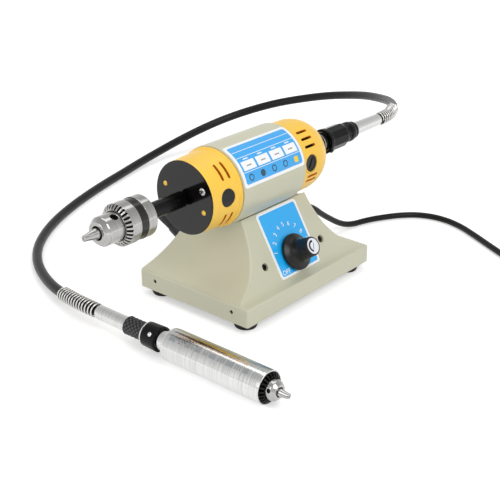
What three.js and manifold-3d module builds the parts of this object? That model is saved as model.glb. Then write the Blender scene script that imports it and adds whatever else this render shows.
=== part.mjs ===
// A bench buffer: a small motor on a hollow pedestal, with a keyed chuck on a spindle rod at one end
// and a flexible shaft to a handpiece at the other. Millimetres, +Z up.
// +X runs along the motor from the chuck to the flexible shaft, and -Y faces the speed knob.
import * as THREE from "three";
import { mergeVertices } from "three/addons/utils/BufferGeometryUtils.js";
import Module from "manifold-3d";

const wasm = await Module();
wasm.setup();

// Clearances, and the overrun of every cutter
const SEAT_GAP = 0.3;
const RUN_GAP = 0.3;
const OVERRUN = 8;

// Pedestal
const BASE_LENGTH = 185;
const BASE_WIDTH = 133;
const BASE_WALL = 3.5;
const SKIRT_HEIGHT = 18;
const FOOT_HEIGHT = 7.5;
const NECK_LENGTH = 94;
const NECK_HEIGHT = 86;
const FLANK_PULL_LENGTH = 100;
const FLANK_PULL_HEIGHT = 38;
const LEDGE = 11.4;
const NECK_FRONT_Y = -1;
const NECK_BACK_Y = 21.4;
const PLATE_THICKNESS = 2;
const FOOT_RADIUS = 11.5;
const FOOT_SOLE_RADIUS = 10;
const FOOT_INSET = 15;
const SIDE_SCREW_RADIUS = 1.6;
const SIDE_SCREW_INSET = 19;
const SIDE_SCREW_HEIGHT = 18;

// Motor
const AXIS_HEIGHT = 116;
const MOTOR_TURN = THREE.MathUtils.degToRad(5);
const MOTOR_RADIUS = 37.5;
const MOTOR_WALL = 2.5;
const MOTOR_FRONT = -62;
const MOTOR_REAR = 25;
const FRONT_CAP_LENGTH = 36.4;
const FRONT_CAP_RADIUS = 33.6;
const FRONT_CAP_ROOT_RADIUS = 35.4;
const FLANGE_RADIUS = 36.7;
const FLANGE_LENGTH = 4;
const REAR_CAP_LENGTH = 53;
const REAR_CAP_RADIUS = 35.2;
const REAR_CAP_END_RADIUS = 11;
const REAR_CAP_ROUND = 30;
const CAP_WALL = 2.4;
const WEB = 3;
const FRONT_PLATE_RADIUS = 32.4;
const FRONT_PLATE_THICKNESS = 2;
const PLATE_SCREW_RADIUS = 3;
const PLATE_SCREW_CIRCLE = 24;
const PLATE_SCREW_ANGLE = THREE.MathUtils.degToRad(22);
const SCREW_HEAD = 1.4;
const SCREW_SHANK_RADIUS = 1.5;
const SCREW_SHANK_LENGTH = 5;

// Vents and plugs in the caps
const PLUG_RADIUS = 8;
const PLUG_DEPTH = 3;
const FRONT_PLUG_X = -80;
const BRUSH_X = 37;
const SLOT_WIDTH = 2.4;
const FRONT_SLOT_STEP = 7.6;
const FRONT_SLOT_START = THREE.MathUtils.degToRad(26);
const FRONT_SLOT_SWEEP = THREE.MathUtils.degToRad(28);
const REAR_SLOT_LENGTH = 15;
const REAR_SLOT_X = 33;
const REAR_SLOT_FIRST = THREE.MathUtils.degToRad(26);
const REAR_SLOT_STEP = THREE.MathUtils.degToRad(13);
const REAR_SLOT_LOWER_FIRST = THREE.MathUtils.degToRad(22);
const REAR_SLOT_LOWER_STEP = THREE.MathUtils.degToRad(8.5);

// Rotor and what it runs in
const SHAFT_RADIUS = 4;
const SHAFT_FRONT = -113;
const SHAFT_REAR = 104;
const BEARING_RADIUS = 11;
const BEARING_WIDTH = 7;
const ARMATURE_RADIUS = 20.5;
const ARMATURE_LENGTH = 42;
const ARMATURE_X = -39;
const AIR_GAP = 0.8;
const WINDING_LENGTH = 7;
const COMMUTATOR_RADIUS = 12.5;
const COMMUTATOR_LENGTH = 18;
const FAN_RADIUS = 29;
const FAN_HUB_RADIUS = 9;
const FAN_DISC = 2;
const FAN_BLADE = 7;
const FAN_BLADE_THICKNESS = 1.6;
const FAN_BLADES = 9;
const BRUSH_WIDTH = 6;
const BRUSH_LENGTH = 15;
const BRUSH_TUBE_RADIUS = 5.6;

// Labels
const LABEL_THICKNESS = 0.5;
const MOTOR_LABEL_MARGIN = 2;
const MOTOR_LABEL_START = THREE.MathUtils.degToRad(4);
const MOTOR_LABEL_SWEEP = THREE.MathUtils.degToRad(65);
const PANEL_LABEL_WIDTH = 58;
const PANEL_LABEL_MARGIN = 1.4;
const PANEL_LABEL_ROUND = 4;

// Speed control, on the panel
const KNOB_RISE = 20.2;
const KNOB_RADIUS = 17.6;
const KNOB_CAP_RADIUS = 9.3;
const KNOB_HEIGHT = 23.6;
const KNOB_LIFT = 2.4;
const KNOB_INSERT_RADIUS = 7.6;
const KNOB_INSERT_DEPTH = 0.6;
const POT_SHAFT_RADIUS = 3;
const POT_SHAFT_DEPTH = 13;
const POT_BUSH_RADIUS = 4.6;
const POT_RADIUS = 12;
const POT_DEPTH = 9;
const BOARD_WIDTH = 46;
const BOARD_HEIGHT = 34;
const BOARD_THICKNESS = 1.6;
const PANEL_SCREW_SPREAD = 84;
const PANEL_SCREW_RADIUS = 3;
const PANEL_SCREW_SINK = 1.9;

// Fuse holder, on the back
const FUSE_X = -46;
const FUSE_HEIGHT = 49;
const FUSE_FLANGE_RADIUS = 8.5;
const FUSE_FLANGE = 2;
const FUSE_BODY_RADIUS = 7.2;
const FUSE_BODY_LENGTH = 11;
const FUSE_BARREL_RADIUS = 5.6;
const FUSE_BARREL_LENGTH = 22;
const FUSE_CAP_RADIUS = 5.8;
const FUSE_CAP_LENGTH = 17;

// Power cord, coil and plug
const CORD_DIAMETER = 6.4;
const CORD_TILT = THREE.MathUtils.degToRad(22);
const RELIEF_LENGTH = 32;
const RELIEF_RADIUS = 5.6;
const RELIEF_TIP_RADIUS = 4.2;
const RELIEF_STEM = 12;
const RELIEF_X = 52.5;
const RELIEF_Y = 12;
const RELIEF_HEIGHT = 63;
const COIL_PITCH = 7;
const COIL_INNER_RADIUS = 27;
const COIL_LAYER_TURNS = 2.25;
const COIL_TAIL = 60;
const COIL_LOOP_STEPS = 24;
const COIL_SIDES = 6;
const COIL_TAIL_STEPS = 8;
const PLUG_BODY_LENGTH = 34;
const PLUG_BODY_WIDTH = 26;
const PLUG_BODY_HEIGHT = 14;
const PIN_RADIUS = 2.4;
const PIN_LENGTH = 19;
const PIN_SPREAD = 18.6;

// Spindle rod and main chuck
const ROD_RADIUS = 7.3;
const ROD_REAR = -101.2;
const ROD_CHAMFER = 1;
const ROD_STUB_RADIUS = 5;
const ROD_STUB_LENGTH = 14;
const CHUCK_REAR = -149.4;

// Flexible shaft, its coupling, ferrules and spring guards
const SHEATH_DIAMETER = 9.6;
const NOSE_RADIUS = 9.6;
const NOSE_LIP = 1.4;
const NOSE_END = 120;
const COUPLING_FRONT = 101;
const COUPLING_LENGTH = 51.5;
const COUPLING_RADIUS = 12.8;
const COUPLING_RING = 5;
const COUPLING_BODY_RADIUS = 12.3;
const COUPLING_BODY_LENGTH = 30;
const COUPLING_TAIL_RADIUS = 9.5;
const COUPLING_SIDES = 10;
const FERRULE_RADIUS = 6.9;
const FERRULE_TIP_RADIUS = 6.3;
const FERRULE_STEM_RADIUS = 4.5;
const FERRULE_STEM_LENGTH = 14;
const FERRULE_END = 200;
const CORE_BORE_RADIUS = 2;
const GUARD_WIRE = 1.5;
const GUARD_GAP = 0.9;
const GUARD_PITCH = 3.7;
const GUARD_CURLS = 14;
const GUARD_STEPS = 8;
const GUARD_SIDES = 5;

// Handpiece and its quick connector, in line with the end of the flexible shaft
const HANDPIECE_X = -163;
const HANDPIECE_RADIUS = 14.7;
const HANDPIECE_LENGTH = 106.6;
const HANDPIECE_WALL = 1.1;
const HANDPIECE_ROUND = 3.5;
const SPIGOT_RADIUS = 6.5;
const SPIGOT_LENGTH = 20.5;
const LAND_LENGTH = 10;
const SPINDLE_RADIUS = 4;
const COLLAR_RADIUS = 10.6;
const COLLAR_MOUTH_RADIUS = 11.4;
const COLLAR_LENGTH = 18;
const COLLAR_GAP = 10.6;
const SLEEVE_RADIUS = 8.2;
const SLEEVE_LENGTH = 22;
const TOOL_FERRULE_RADIUS = 6.8;
const TOOL_FERRULE_LENGTH = 67.9;

// Numbers of faces round a turned piece
const FINE = 28;
const MEDIUM = 16;
const COARSE = 10;
const CORD_SIDES = 8;
const SHEATH_SIDES = 10;
const CORD_STEP_SHARE = 2.05;
const NECK_CURVE_STEPS = 6;

// Keyed chucks: lengths along the axis from the sleeve's rear face towards the tip
const MAIN_CHUCK = {
  sleeveWall: 4.85,
  sleeveLength: 28.7,
  bevelLength: 3,
  bodyRadius: 12.7,
  bodyFront: 47,
  faceFront: 50.6,
  faceRadius: 9.6,
  tip: 64.6,
  tipRadius: 1.3,
  coneRise: 4.4,
  jawRadius: 2.7,
  jawLength: 26,
  jawOffset: 1.5,
  jawTilt: THREE.MathUtils.degToRad(11),
  jawTravel: 12,
  jawStart: THREE.MathUtils.degToRad(4),
  keyRadius: 2.9,
  keyDepth: 3,
  keyX: 36.2,
  teeth: 22,
  toothDepth: 1.5,
  rearBore: ROD_STUB_RADIUS,
  rearBoreDepth: ROD_STUB_LENGTH,
};
const HAND_CHUCK = {
  sleeveWall: 3.3,
  sleeveLength: 12,
  bevelLength: 1.6,
  bodyRadius: 8.9,
  bodyFront: 18.2,
  faceFront: 21.2,
  faceRadius: 6.2,
  tip: 30.4,
  tipRadius: 1,
  coneRise: 3,
  jawRadius: 2,
  jawLength: 17,
  jawOffset: 1.15,
  jawTilt: THREE.MathUtils.degToRad(11),
  jawTravel: 7,
  jawStart: THREE.MathUtils.degToRad(98.5),
  keyRadius: 1.8,
  keyDepth: 2,
  keyX: 16.1,
  teeth: 16,
  toothDepth: 1,
  rearBore: 0,
  rearBoreDepth: 0,
};
const HAND_CHUCK_SINK = 11;

// The sheath's route from the motor's ferrule to the handpiece's, chosen by hand
const SHEATH_ROUTE = [
  [200.3, 0, 116],
  [208, 0, 116],
  [223, 2.2, 115.6],
  [237, 7.5, 114.6],
  [253, 15.8, 112.8],
  [270, 25.5, 110.5],
  [299, 50, 105],
  [323, 79, 98],
  [342, 111, 90.9],
  [355, 145, 82.6],
  [360, 182, 73.8],
  [357, 218, 64.2],
  [344, 252.5, 54.4],
  [323, 281.2, 44],
  [294, 303, 33.8],
  [260, 316.5, 24.4],
  [223.5, 322.5, 16.6],
  [185.5, 323, 10.6],
  [148.5, 318.5, 7.2],
  [111.5, 310, 5.8],
  [75, 300.5, 5.3],
  [38.5, 289, 5.2],
  [2.5, 275.5, 5.2],
  [-32.5, 259.5, 5.2],
  [-65.2, 240, 5.2],
  [-94, 217, 5.2],
  [-118, 189, 5.6],
  [-137, 156, 6.8],
  [-151, 121, 9.2],
  [-159.5, 86, 12.7],
  [-162.7, 62, 14.5],
  [-163, 55, 14.7],
  [-163, 47.3, 14.7],
];

// The power cord's route from its strain relief to the coil, chosen by hand
const CORD_ROUTE = [
  [82.5, 12, 50.9],
  [92, 12, 47],
  [105, 11, 40],
  [119.2, 11.2, 29.6],
  [134, 10.8, 19.6],
  [149.2, 9.2, 10.2],
  [159.8, 6.9, 5.7],
  [170.9, 3.9, 3.8],
  [182, 1, 3.5],
  [195, -4, 3.5],
  [210, -12, 3.5],
  [224, -21.5, 3.5],
  [236, -34, 3.5],
  [243, -50, 3.5],
  [244, -68, 3.5],
  [239, -88, 3.5],
  [229, -109, 3.5],
  [217, -131, 3.5],
  [204.5, -154, 3.5],
  [193.5, -176, 3.5],
  [186, -196, 3.5],
  [182.5, -214, 3.5],
  [182, -221, 3.5],
];

const finish = (color, roughness, metalness) =>
  new THREE.MeshStandardMaterial({ color, roughness, metalness });
const BEIGE_ENAMEL = finish("#cac9b4", 0.5, 0);
const YELLOW_ABS = finish("#fdc04a", 0.45, 0);
const BLACK_PLASTIC = finish("#1d1d1f", 0.5, 0);
const BLACK_GLOSS = finish("#17161a", 0.1, 0);
const BLACK_RUBBER = finish("#1b1b1b", 0.85, 0);
const SHEATH_RUBBER = finish("#3a3a3c", 0.6, 0);
const BLACK_STEEL = finish("#232325", 0.35, 1);
const BRIGHT_STEEL = finish("#c4c1bb", 0.28, 1);
const ALUMINIUM = finish("#d8d9da", 0.22, 1);
const DARK_IRON = finish("#55565a", 0.5, 1);
const COPPER = finish("#b8703c", 0.35, 1);
const CARBON = finish("#2a2a2c", 0.8, 0);
const GREEN_BOARD = finish("#1f6b3c", 0.5, 0);
const BLUE_PRINT = finish("#35a9ee", 0.3, 0);

// Gives a geometry with shared vertices and faces that point out.
function outward(geometry) {
  geometry.deleteAttribute("normal");
  geometry.deleteAttribute("uv");
  const merged = mergeVertices(geometry);
  const at = merged.attributes.position;
  const index = merged.index.array;
  const corner = [new THREE.Vector3(), new THREE.Vector3(), new THREE.Vector3()];
  let volume = 0;
  for (let i = 0; i < index.length; i += 3) {
    corner.forEach((vector, k) => vector.fromBufferAttribute(at, index[i + k]));
    volume += corner[0].dot(corner[1].clone().cross(corner[2]));
  }
  if (volume < 0) {
    for (let i = 0; i < index.length; i += 3) {
      [index[i + 1], index[i + 2]] = [index[i + 2], index[i + 1]];
    }
  }
  return merged;
}

function solidOf(geometry) {
  const shape = outward(geometry.clone());
  const vertProperties = new Float32Array(shape.attributes.position.array);
  const triVerts = new Uint32Array(shape.index.array);
  return new wasm.Manifold(new wasm.Mesh({ numProp: 3, vertProperties, triVerts }));
}

function geometryOf(solid) {
  const made = solid.getMesh();
  const position = new THREE.BufferAttribute(new Float32Array(made.vertProperties), 3);
  return new THREE.BufferGeometry()
    .setAttribute("position", position)
    .setIndex(new THREE.BufferAttribute(new Uint32Array(made.triVerts), 1));
}

function cut(body, ...cutters) {
  let solid = solidOf(body);
  for (const cutter of cutters) solid = solid.subtract(solidOf(cutter));
  return geometryOf(solid);
}

function join(body, ...others) {
  let solid = solidOf(body);
  for (const other of others) solid = solid.add(solidOf(other));
  return geometryOf(solid);
}

function common(body, ...others) {
  let solid = solidOf(body);
  for (const other of others) solid = solid.intersect(solidOf(other));
  return geometryOf(solid);
}

// Turns an outline of [x, radius] points round the X axis. An outline off the axis is closed to a ring.
function turned(outline, faces) {
  const points = outline.map(([x, radius]) => new THREE.Vector2(radius, x));
  const onAxis = outline[0][1] === 0 && outline[outline.length - 1][1] === 0;
  if (!onAxis) points.push(points[0].clone());
  return outward(new THREE.LatheGeometry(points, faces).rotateZ(-Math.PI / 2));
}

// A plain round bar along X, from one end to the other.
function bar(from, to, radius, faces) {
  return turned([[from, 0], [from, radius], [to, radius], [to, 0]], faces);
}

// A round sleeve along X.
function sleeve(from, to, radius, bore, faces) {
  return turned([[from, bore], [from, radius], [to, radius], [to, bore]], faces);
}

// The same bar along Z, for pieces that stand on a face.
function post(from, to, radius, faces) {
  return bar(from, to, radius, faces).rotateY(-Math.PI / 2);
}

// A bore whose flats clear a shaft with the same number of faces as it turns.
function clearBore(radius, faces) {
  return (radius + RUN_GAP) / Math.cos(Math.PI / faces);
}

function box(width, depth, height, x, y, z) {
  return new THREE.BoxGeometry(width, depth, height).translate(x, y, z);
}

function extruded(points, depth) {
  const shape = new THREE.Shape(points.map(([x, y]) => new THREE.Vector2(x, y)));
  return outward(new THREE.ExtrudeGeometry(shape, { depth, bevelEnabled: false }));
}

// A round tube along a smooth curve through points, with flat ends.
function tube(route, diameter, sides) {
  const curve = new THREE.CatmullRomCurve3(route, false, "centripetal");
  const section = new THREE.Shape();
  for (let i = 0; i < sides; i++) {
    const turn = (i / sides) * 2 * Math.PI;
    const x = (diameter / 2) * Math.cos(turn);
    const y = (diameter / 2) * Math.sin(turn);
    if (i === 0) section.moveTo(x, y);
    else section.lineTo(x, y);
  }
  const steps = Math.round(curve.getLength() / (CORD_STEP_SHARE * diameter));
  return outward(
    new THREE.ExtrudeGeometry(section, { steps, extrudePath: curve, bevelEnabled: false }),
  );
}

// A tube carried point by point along a list of points, with closed ends: for wound pieces.
function woundTube(points, radius, sides) {
  const rings = [];
  let normal = null;
  points.forEach((point, i) => {
    const ahead = points[Math.min(i + 1, points.length - 1)];
    const behind = points[Math.max(i - 1, 0)];
    const along = ahead.clone().sub(behind).normalize();
    if (!normal) normal = new THREE.Vector3(0, 0, 1).cross(along).normalize();
    normal.addScaledVector(along, -normal.dot(along)).normalize();
    const across = along.clone().cross(normal);
    const ring = [];
    for (let k = 0; k < sides; k++) {
      const turn = (k / sides) * 2 * Math.PI;
      ring.push(
        point
          .clone()
          .addScaledVector(normal, radius * Math.cos(turn))
          .addScaledVector(across, radius * Math.sin(turn)),
      );
    }
    rings.push(ring);
  });
  const position = rings.flat().flatMap((vertex) => vertex.toArray());
  const index = [];
  for (let i = 0; i + 1 < rings.length; i++) {
    for (let k = 0; k < sides; k++) {
      const a = i * sides + k;
      const b = i * sides + ((k + 1) % sides);
      index.push(a, b, a + sides, b, b + sides, a + sides);
    }
  }
  const last = (rings.length - 1) * sides;
  for (let k = 1; k + 1 < sides; k++) {
    index.push(0, k + 1, k);
    index.push(last, last + k, last + k + 1);
  }
  const geometry = new THREE.BufferGeometry();
  geometry.setAttribute("position", new THREE.Float32BufferAttribute(position, 3));
  geometry.setIndex(index);
  return outward(geometry);
}

// The least gap of a wound tube to itself, measured between points further apart along it than half a loop.
function leastGap(points, diameter, loopSteps) {
  let least = Infinity;
  for (let i = 0; i < points.length; i++) {
    for (let j = i + Math.round(loopSteps / 2); j < points.length; j++) {
      const a = points[j];
      const b = points[Math.min(j + 1, points.length - 1)];
      const near = new THREE.Line3(a, b).closestPointToPoint(points[i], true, new THREE.Vector3());
      least = Math.min(least, near.distanceTo(points[i]));
    }
  }
  return least - diameter;
}

const root = new THREE.Group();
const machine = new THREE.Group();
root.add(machine);

function group(parent, x, y, z) {
  const made = new THREE.Group();
  made.position.set(x, y, z);
  parent.add(made);
  return made;
}

function add(parent, name, geometry, material) {
  const mesh = new THREE.Mesh(geometry, material);
  mesh.name = name;
  parent.add(mesh);
  return mesh;
}

// Pedestal outline seen from the front: a skirt, two hollow flanks and a straight neck.
const skirtTop = FOOT_HEIGHT + SKIRT_HEIGHT;
const saddleRadius = MOTOR_RADIUS + SEAT_GAP;

function flankOutline(inset) {
  const half = BASE_LENGTH / 2 - inset;
  const foot = new THREE.Vector2(half, skirtTop - inset);
  const pull = new THREE.Vector2(FLANK_PULL_LENGTH / 2 - inset, FLANK_PULL_HEIGHT - inset);
  const neck = new THREE.Vector2(NECK_LENGTH / 2 - inset, NECK_HEIGHT - inset);
  const curve = new THREE.QuadraticBezierCurve(foot, pull, neck).getPoints(NECK_CURVE_STEPS);
  const right = curve.map((point) => [point.x, point.y]);
  right.push([NECK_LENGTH / 2 - inset, AXIS_HEIGHT]);
  const left = right.map(([x, z]) => [-x, z]).reverse();
  return [[half, FOOT_HEIGHT], ...right, ...left, [-half, FOOT_HEIGHT]];
}

// Pedestal outline seen from the end: a ledge and a sloping panel in front, one slope behind.
const panelFootY = -BASE_WIDTH / 2 + LEDGE;
const backFootY = BASE_WIDTH / 2;
const neckRise = AXIS_HEIGHT - skirtTop;
const panelRun = NECK_FRONT_Y - panelFootY;
const backRun = backFootY - NECK_BACK_Y;
const panelAngle = Math.atan2(neckRise, panelRun);
const backAngle = Math.atan2(neckRise, backRun);
const panelY = (z) => panelFootY + (z - skirtTop) / Math.tan(panelAngle);
const backY = (z) => backFootY - (z - skirtTop) / Math.tan(backAngle);

function endOutline(inset) {
  return [
    [-BASE_WIDTH / 2 + inset, FOOT_HEIGHT],
    [-BASE_WIDTH / 2 + inset, skirtTop - inset],
    [panelY(skirtTop - inset) + inset, skirtTop - inset],
    [panelY(AXIS_HEIGHT) + inset, AXIS_HEIGHT],
    [backY(AXIS_HEIGHT) - inset, AXIS_HEIGHT],
    [backY(skirtTop - inset) - inset, skirtTop - inset],
    [BASE_WIDTH / 2 - inset, FOOT_HEIGHT],
  ];
}

function pedestalBlock(inset) {
  const long = extruded(flankOutline(inset), BASE_WIDTH);
  long.rotateX(Math.PI / 2).translate(0, BASE_WIDTH / 2, 0);
  const wide = extruded(endOutline(inset), BASE_LENGTH);
  wide.rotateX(Math.PI / 2).rotateZ(Math.PI / 2).translate(-BASE_LENGTH / 2, 0, 0);
  const saddle = bar(-BASE_LENGTH, BASE_LENGTH, saddleRadius + inset, FINE * 2);
  return cut(common(long, wide), saddle.translate(0, 0, AXIS_HEIGHT));
}

// Frames of the two sloping faces: local Z points out of the face, local Y up the slope.
function panelFrame(parent, rise) {
  const made = group(parent, 0, panelFootY, skirtTop);
  made.rotation.x = panelAngle;
  return group(made, 0, rise, 0);
}

// The panel's length up the slope, from its foot to the saddle.
const panelAim = neckRise * Math.sin(panelAngle) - panelFootY * Math.cos(panelAngle);
const panelMiss = neckRise * Math.cos(panelAngle) + panelFootY * Math.sin(panelAngle);
const panelLength = panelAim - Math.sqrt(saddleRadius ** 2 - panelMiss ** 2);
const panelLabelHeight = panelLength - 2 * PANEL_LABEL_MARGIN;
const panelKnob = panelFrame(machine, KNOB_RISE);
const panelLabel = panelFrame(machine, panelLength / 2);
const fuseFrame = group(machine, FUSE_X, backY(FUSE_HEIGHT), FUSE_HEIGHT);
fuseFrame.rotation.x = -backAngle;
const reliefFrame = group(machine, RELIEF_X, RELIEF_Y, RELIEF_HEIGHT);
reliefFrame.rotation.y = CORD_TILT;

// Puts a cutter that is drawn in a frame into the machine's frame.
function fromFrame(frame, geometry) {
  frame.updateWorldMatrix(true, false);
  return geometry.clone().applyMatrix4(frame.matrixWorld);
}

function baseHousing() {
  const outside = pedestalBlock(0);
  const hollow = pedestalBlock(BASE_WALL);
  const mouth = box(
    BASE_LENGTH - 2 * BASE_WALL,
    BASE_WIDTH - 2 * BASE_WALL,
    OVERRUN,
    0,
    0,
    FOOT_HEIGHT,
  );
  const holes = [];
  holes.push(fromFrame(panelKnob, post(-OVERRUN, OVERRUN, POT_BUSH_RADIUS + SEAT_GAP, COARSE)));
  for (const side of [-1, 1]) {
    const x = (side * PANEL_SCREW_SPREAD) / 2;
    const sink = post(-PANEL_SCREW_SINK, OVERRUN, PANEL_SCREW_RADIUS + SEAT_GAP, COARSE);
    const shank = post(-OVERRUN, OVERRUN, SCREW_SHANK_RADIUS + SEAT_GAP, COARSE);
    holes.push(fromFrame(panelKnob, sink.translate(x, 0, 0)));
    holes.push(fromFrame(panelKnob, shank.translate(x, 0, 0)));
    for (const end of [-1, 1]) {
      const y = end * (BASE_WIDTH / 2 - SIDE_SCREW_INSET);
      const from = side * (BASE_LENGTH / 2) - OVERRUN;
      const hole = bar(from, from + 2 * OVERRUN, SIDE_SCREW_RADIUS, COARSE);
      holes.push(hole.translate(0, y, SIDE_SCREW_HEIGHT));
    }
  }
  holes.push(fromFrame(fuseFrame, post(-OVERRUN, OVERRUN, FUSE_BARREL_RADIUS + SEAT_GAP, COARSE)));
  holes.push(fromFrame(reliefFrame, bar(-OVERRUN, 2 * OVERRUN, RELIEF_RADIUS + SEAT_GAP, COARSE)));
  return cut(outside, hollow, mouth, ...holes);
}

function bottomPlate() {
  const length = BASE_LENGTH - 2 * (BASE_WALL + SEAT_GAP);
  const width = BASE_WIDTH - 2 * (BASE_WALL + SEAT_GAP);
  return box(length, width, PLATE_THICKNESS, 0, 0, FOOT_HEIGHT + PLATE_THICKNESS / 2);
}

function rubberFoot() {
  const outline = [
    [0, 0],
    [0, FOOT_SOLE_RADIUS],
    [FOOT_HEIGHT / 2, FOOT_RADIUS],
    [FOOT_HEIGHT, FOOT_RADIUS],
    [FOOT_HEIGHT, 0],
  ];
  return turned(outline, MEDIUM).rotateY(-Math.PI / 2);
}

function buildPedestal() {
  add(machine, "base_housing", baseHousing(), BEIGE_ENAMEL);
  add(machine, "bottom_plate", bottomPlate(), DARK_IRON);
  const footX = BASE_LENGTH / 2 - FOOT_INSET;
  const footY = BASE_WIDTH / 2 - FOOT_INSET;
  for (const [end, x] of [["front", -footX], ["rear", footX]]) {
    for (const [side, y] of [["near", -footY], ["far", footY]]) {
      add(machine, `foot_${end}_${side}`, rubberFoot(), BLACK_RUBBER).position.set(x, y, 0);
    }
  }
}

// A round-cornered plate with a hole for the speed control's bush.
function panelLabelPlate() {
  const x = PANEL_LABEL_WIDTH / 2;
  const y = panelLabelHeight / 2;
  const round = PANEL_LABEL_ROUND;
  const shape = new THREE.Shape();
  shape.moveTo(-x + round, -y);
  shape.lineTo(x - round, -y);
  shape.quadraticCurveTo(x, -y, x, -y + round);
  shape.lineTo(x, y - round);
  shape.quadraticCurveTo(x, y, x - round, y);
  shape.lineTo(-x + round, y);
  shape.quadraticCurveTo(-x, y, -x, y - round);
  shape.lineTo(-x, -y + round);
  shape.quadraticCurveTo(-x, -y, -x + round, -y);
  const plate = new THREE.ExtrudeGeometry(shape, {
    depth: LABEL_THICKNESS,
    bevelEnabled: false,
    curveSegments: 3,
  });
  const knobBelow = panelKnob.position.y - panelLabel.position.y;
  const hole = post(-OVERRUN, OVERRUN, POT_BUSH_RADIUS + SEAT_GAP, COARSE);
  return cut(plate, hole.translate(0, knobBelow, 0));
}

function speedKnob() {
  const top = KNOB_LIFT + KNOB_HEIGHT;
  const waist = (KNOB_RADIUS + KNOB_CAP_RADIUS) / 2;
  const bore = clearBore(POT_SHAFT_RADIUS, COARSE);
  const boreTop = KNOB_LIFT + POT_SHAFT_DEPTH;
  const outline = [
    [boreTop, 0],
    [boreTop, bore],
    [KNOB_LIFT, bore],
    [KNOB_LIFT, KNOB_RADIUS],
    [KNOB_LIFT + KNOB_HEIGHT / 12, KNOB_RADIUS],
    [KNOB_LIFT + KNOB_HEIGHT / 5, waist],
    [KNOB_LIFT + KNOB_HEIGHT / 3, (waist + KNOB_CAP_RADIUS) / 2],
    [KNOB_LIFT + KNOB_HEIGHT / 2, KNOB_CAP_RADIUS + KNOB_INSERT_DEPTH],
    [top - KNOB_INSERT_DEPTH, KNOB_CAP_RADIUS],
    [top, KNOB_CAP_RADIUS - KNOB_INSERT_DEPTH],
    [top, KNOB_INSERT_RADIUS],
    [top - KNOB_INSERT_DEPTH, KNOB_INSERT_RADIUS],
    [top - KNOB_INSERT_DEPTH, 0],
  ];
  return turned(outline, MEDIUM).rotateY(-Math.PI / 2);
}

function potentiometer() {
  const front = -BASE_WALL - SEAT_GAP;
  const bushTop = KNOB_LIFT - SEAT_GAP;
  const bore = clearBore(POT_SHAFT_RADIUS, COARSE);
  const outline = [
    [front - POT_DEPTH, 0],
    [front - POT_DEPTH, POT_RADIUS],
    [front, POT_RADIUS],
    [front, POT_BUSH_RADIUS],
    [bushTop, POT_BUSH_RADIUS],
    [bushTop, bore],
    [front, bore],
    [front, 0],
  ];
  return turned(outline, COARSE).rotateY(-Math.PI / 2);
}

// A pan-head screw along Z whose head's top is at zero.
function screw(headRadius) {
  const outline = [
    [-SCREW_HEAD - SCREW_SHANK_LENGTH, 0],
    [-SCREW_HEAD - SCREW_SHANK_LENGTH, SCREW_SHANK_RADIUS],
    [-SCREW_HEAD, SCREW_SHANK_RADIUS],
    [-SCREW_HEAD, headRadius],
    [-SCREW_HEAD / 2, headRadius],
    [0, headRadius / 2],
    [0, 0],
  ];
  return turned(outline, COARSE).rotateY(-Math.PI / 2);
}

function buildSpeedControl() {
  const label = add(panelLabel, "panel_label", panelLabelPlate(), BLUE_PRINT);
  label.position.z = SEAT_GAP;
  add(panelKnob, "speed_knob", speedKnob(), BLACK_PLASTIC);
  add(panelKnob, "potentiometer", potentiometer(), DARK_IRON);
  const shaftBottom = -BASE_WALL;
  const shaftTop = KNOB_LIFT + POT_SHAFT_DEPTH - SEAT_GAP;
  const shaft = post(shaftBottom, shaftTop, POT_SHAFT_RADIUS, COARSE);
  add(panelKnob, "potentiometer_shaft", shaft, BRIGHT_STEEL);
  const boardZ = -BASE_WALL - POT_DEPTH - 2 * SEAT_GAP - BOARD_THICKNESS / 2;
  const board = box(BOARD_WIDTH, BOARD_HEIGHT, BOARD_THICKNESS, 0, 0, boardZ);
  add(panelKnob, "speed_board", board, GREEN_BOARD);
  for (const [name, side] of [["panel_screw_left", -1], ["panel_screw_right", 1]]) {
    const made = add(panelKnob, name, screw(PANEL_SCREW_RADIUS), BLACK_STEEL);
    made.position.set((side * PANEL_SCREW_SPREAD) / 2, 0, -PANEL_SCREW_SINK + SCREW_HEAD + SEAT_GAP);
  }
}

function buildFuse() {
  const seat = SEAT_GAP;
  const bodyTop = seat + FUSE_FLANGE + FUSE_BODY_LENGTH;
  const holder = [
    [-FUSE_BARREL_LENGTH, 0],
    [-FUSE_BARREL_LENGTH, FUSE_BARREL_RADIUS],
    [seat, FUSE_BARREL_RADIUS],
    [seat, FUSE_FLANGE_RADIUS],
    [seat + FUSE_FLANGE, FUSE_FLANGE_RADIUS],
    [seat + FUSE_FLANGE, FUSE_BODY_RADIUS],
    [bodyTop, FUSE_BODY_RADIUS],
    [bodyTop, 0],
  ];
  add(fuseFrame, "fuse_holder", turned(holder, COARSE).rotateY(-Math.PI / 2), BLACK_PLASTIC);
  const capBottom = bodyTop + SEAT_GAP;
  const cap = [
    [capBottom, 0],
    [capBottom, FUSE_CAP_RADIUS],
    [capBottom + FUSE_CAP_LENGTH - FUSE_FLANGE / 2, FUSE_CAP_RADIUS],
    [capBottom + FUSE_CAP_LENGTH, FUSE_CAP_RADIUS - FUSE_FLANGE / 2],
    [capBottom + FUSE_CAP_LENGTH, 0],
  ];
  add(fuseFrame, "fuse_cap", turned(cap, COARSE).rotateY(-Math.PI / 2), BLACK_PLASTIC);
}

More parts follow.
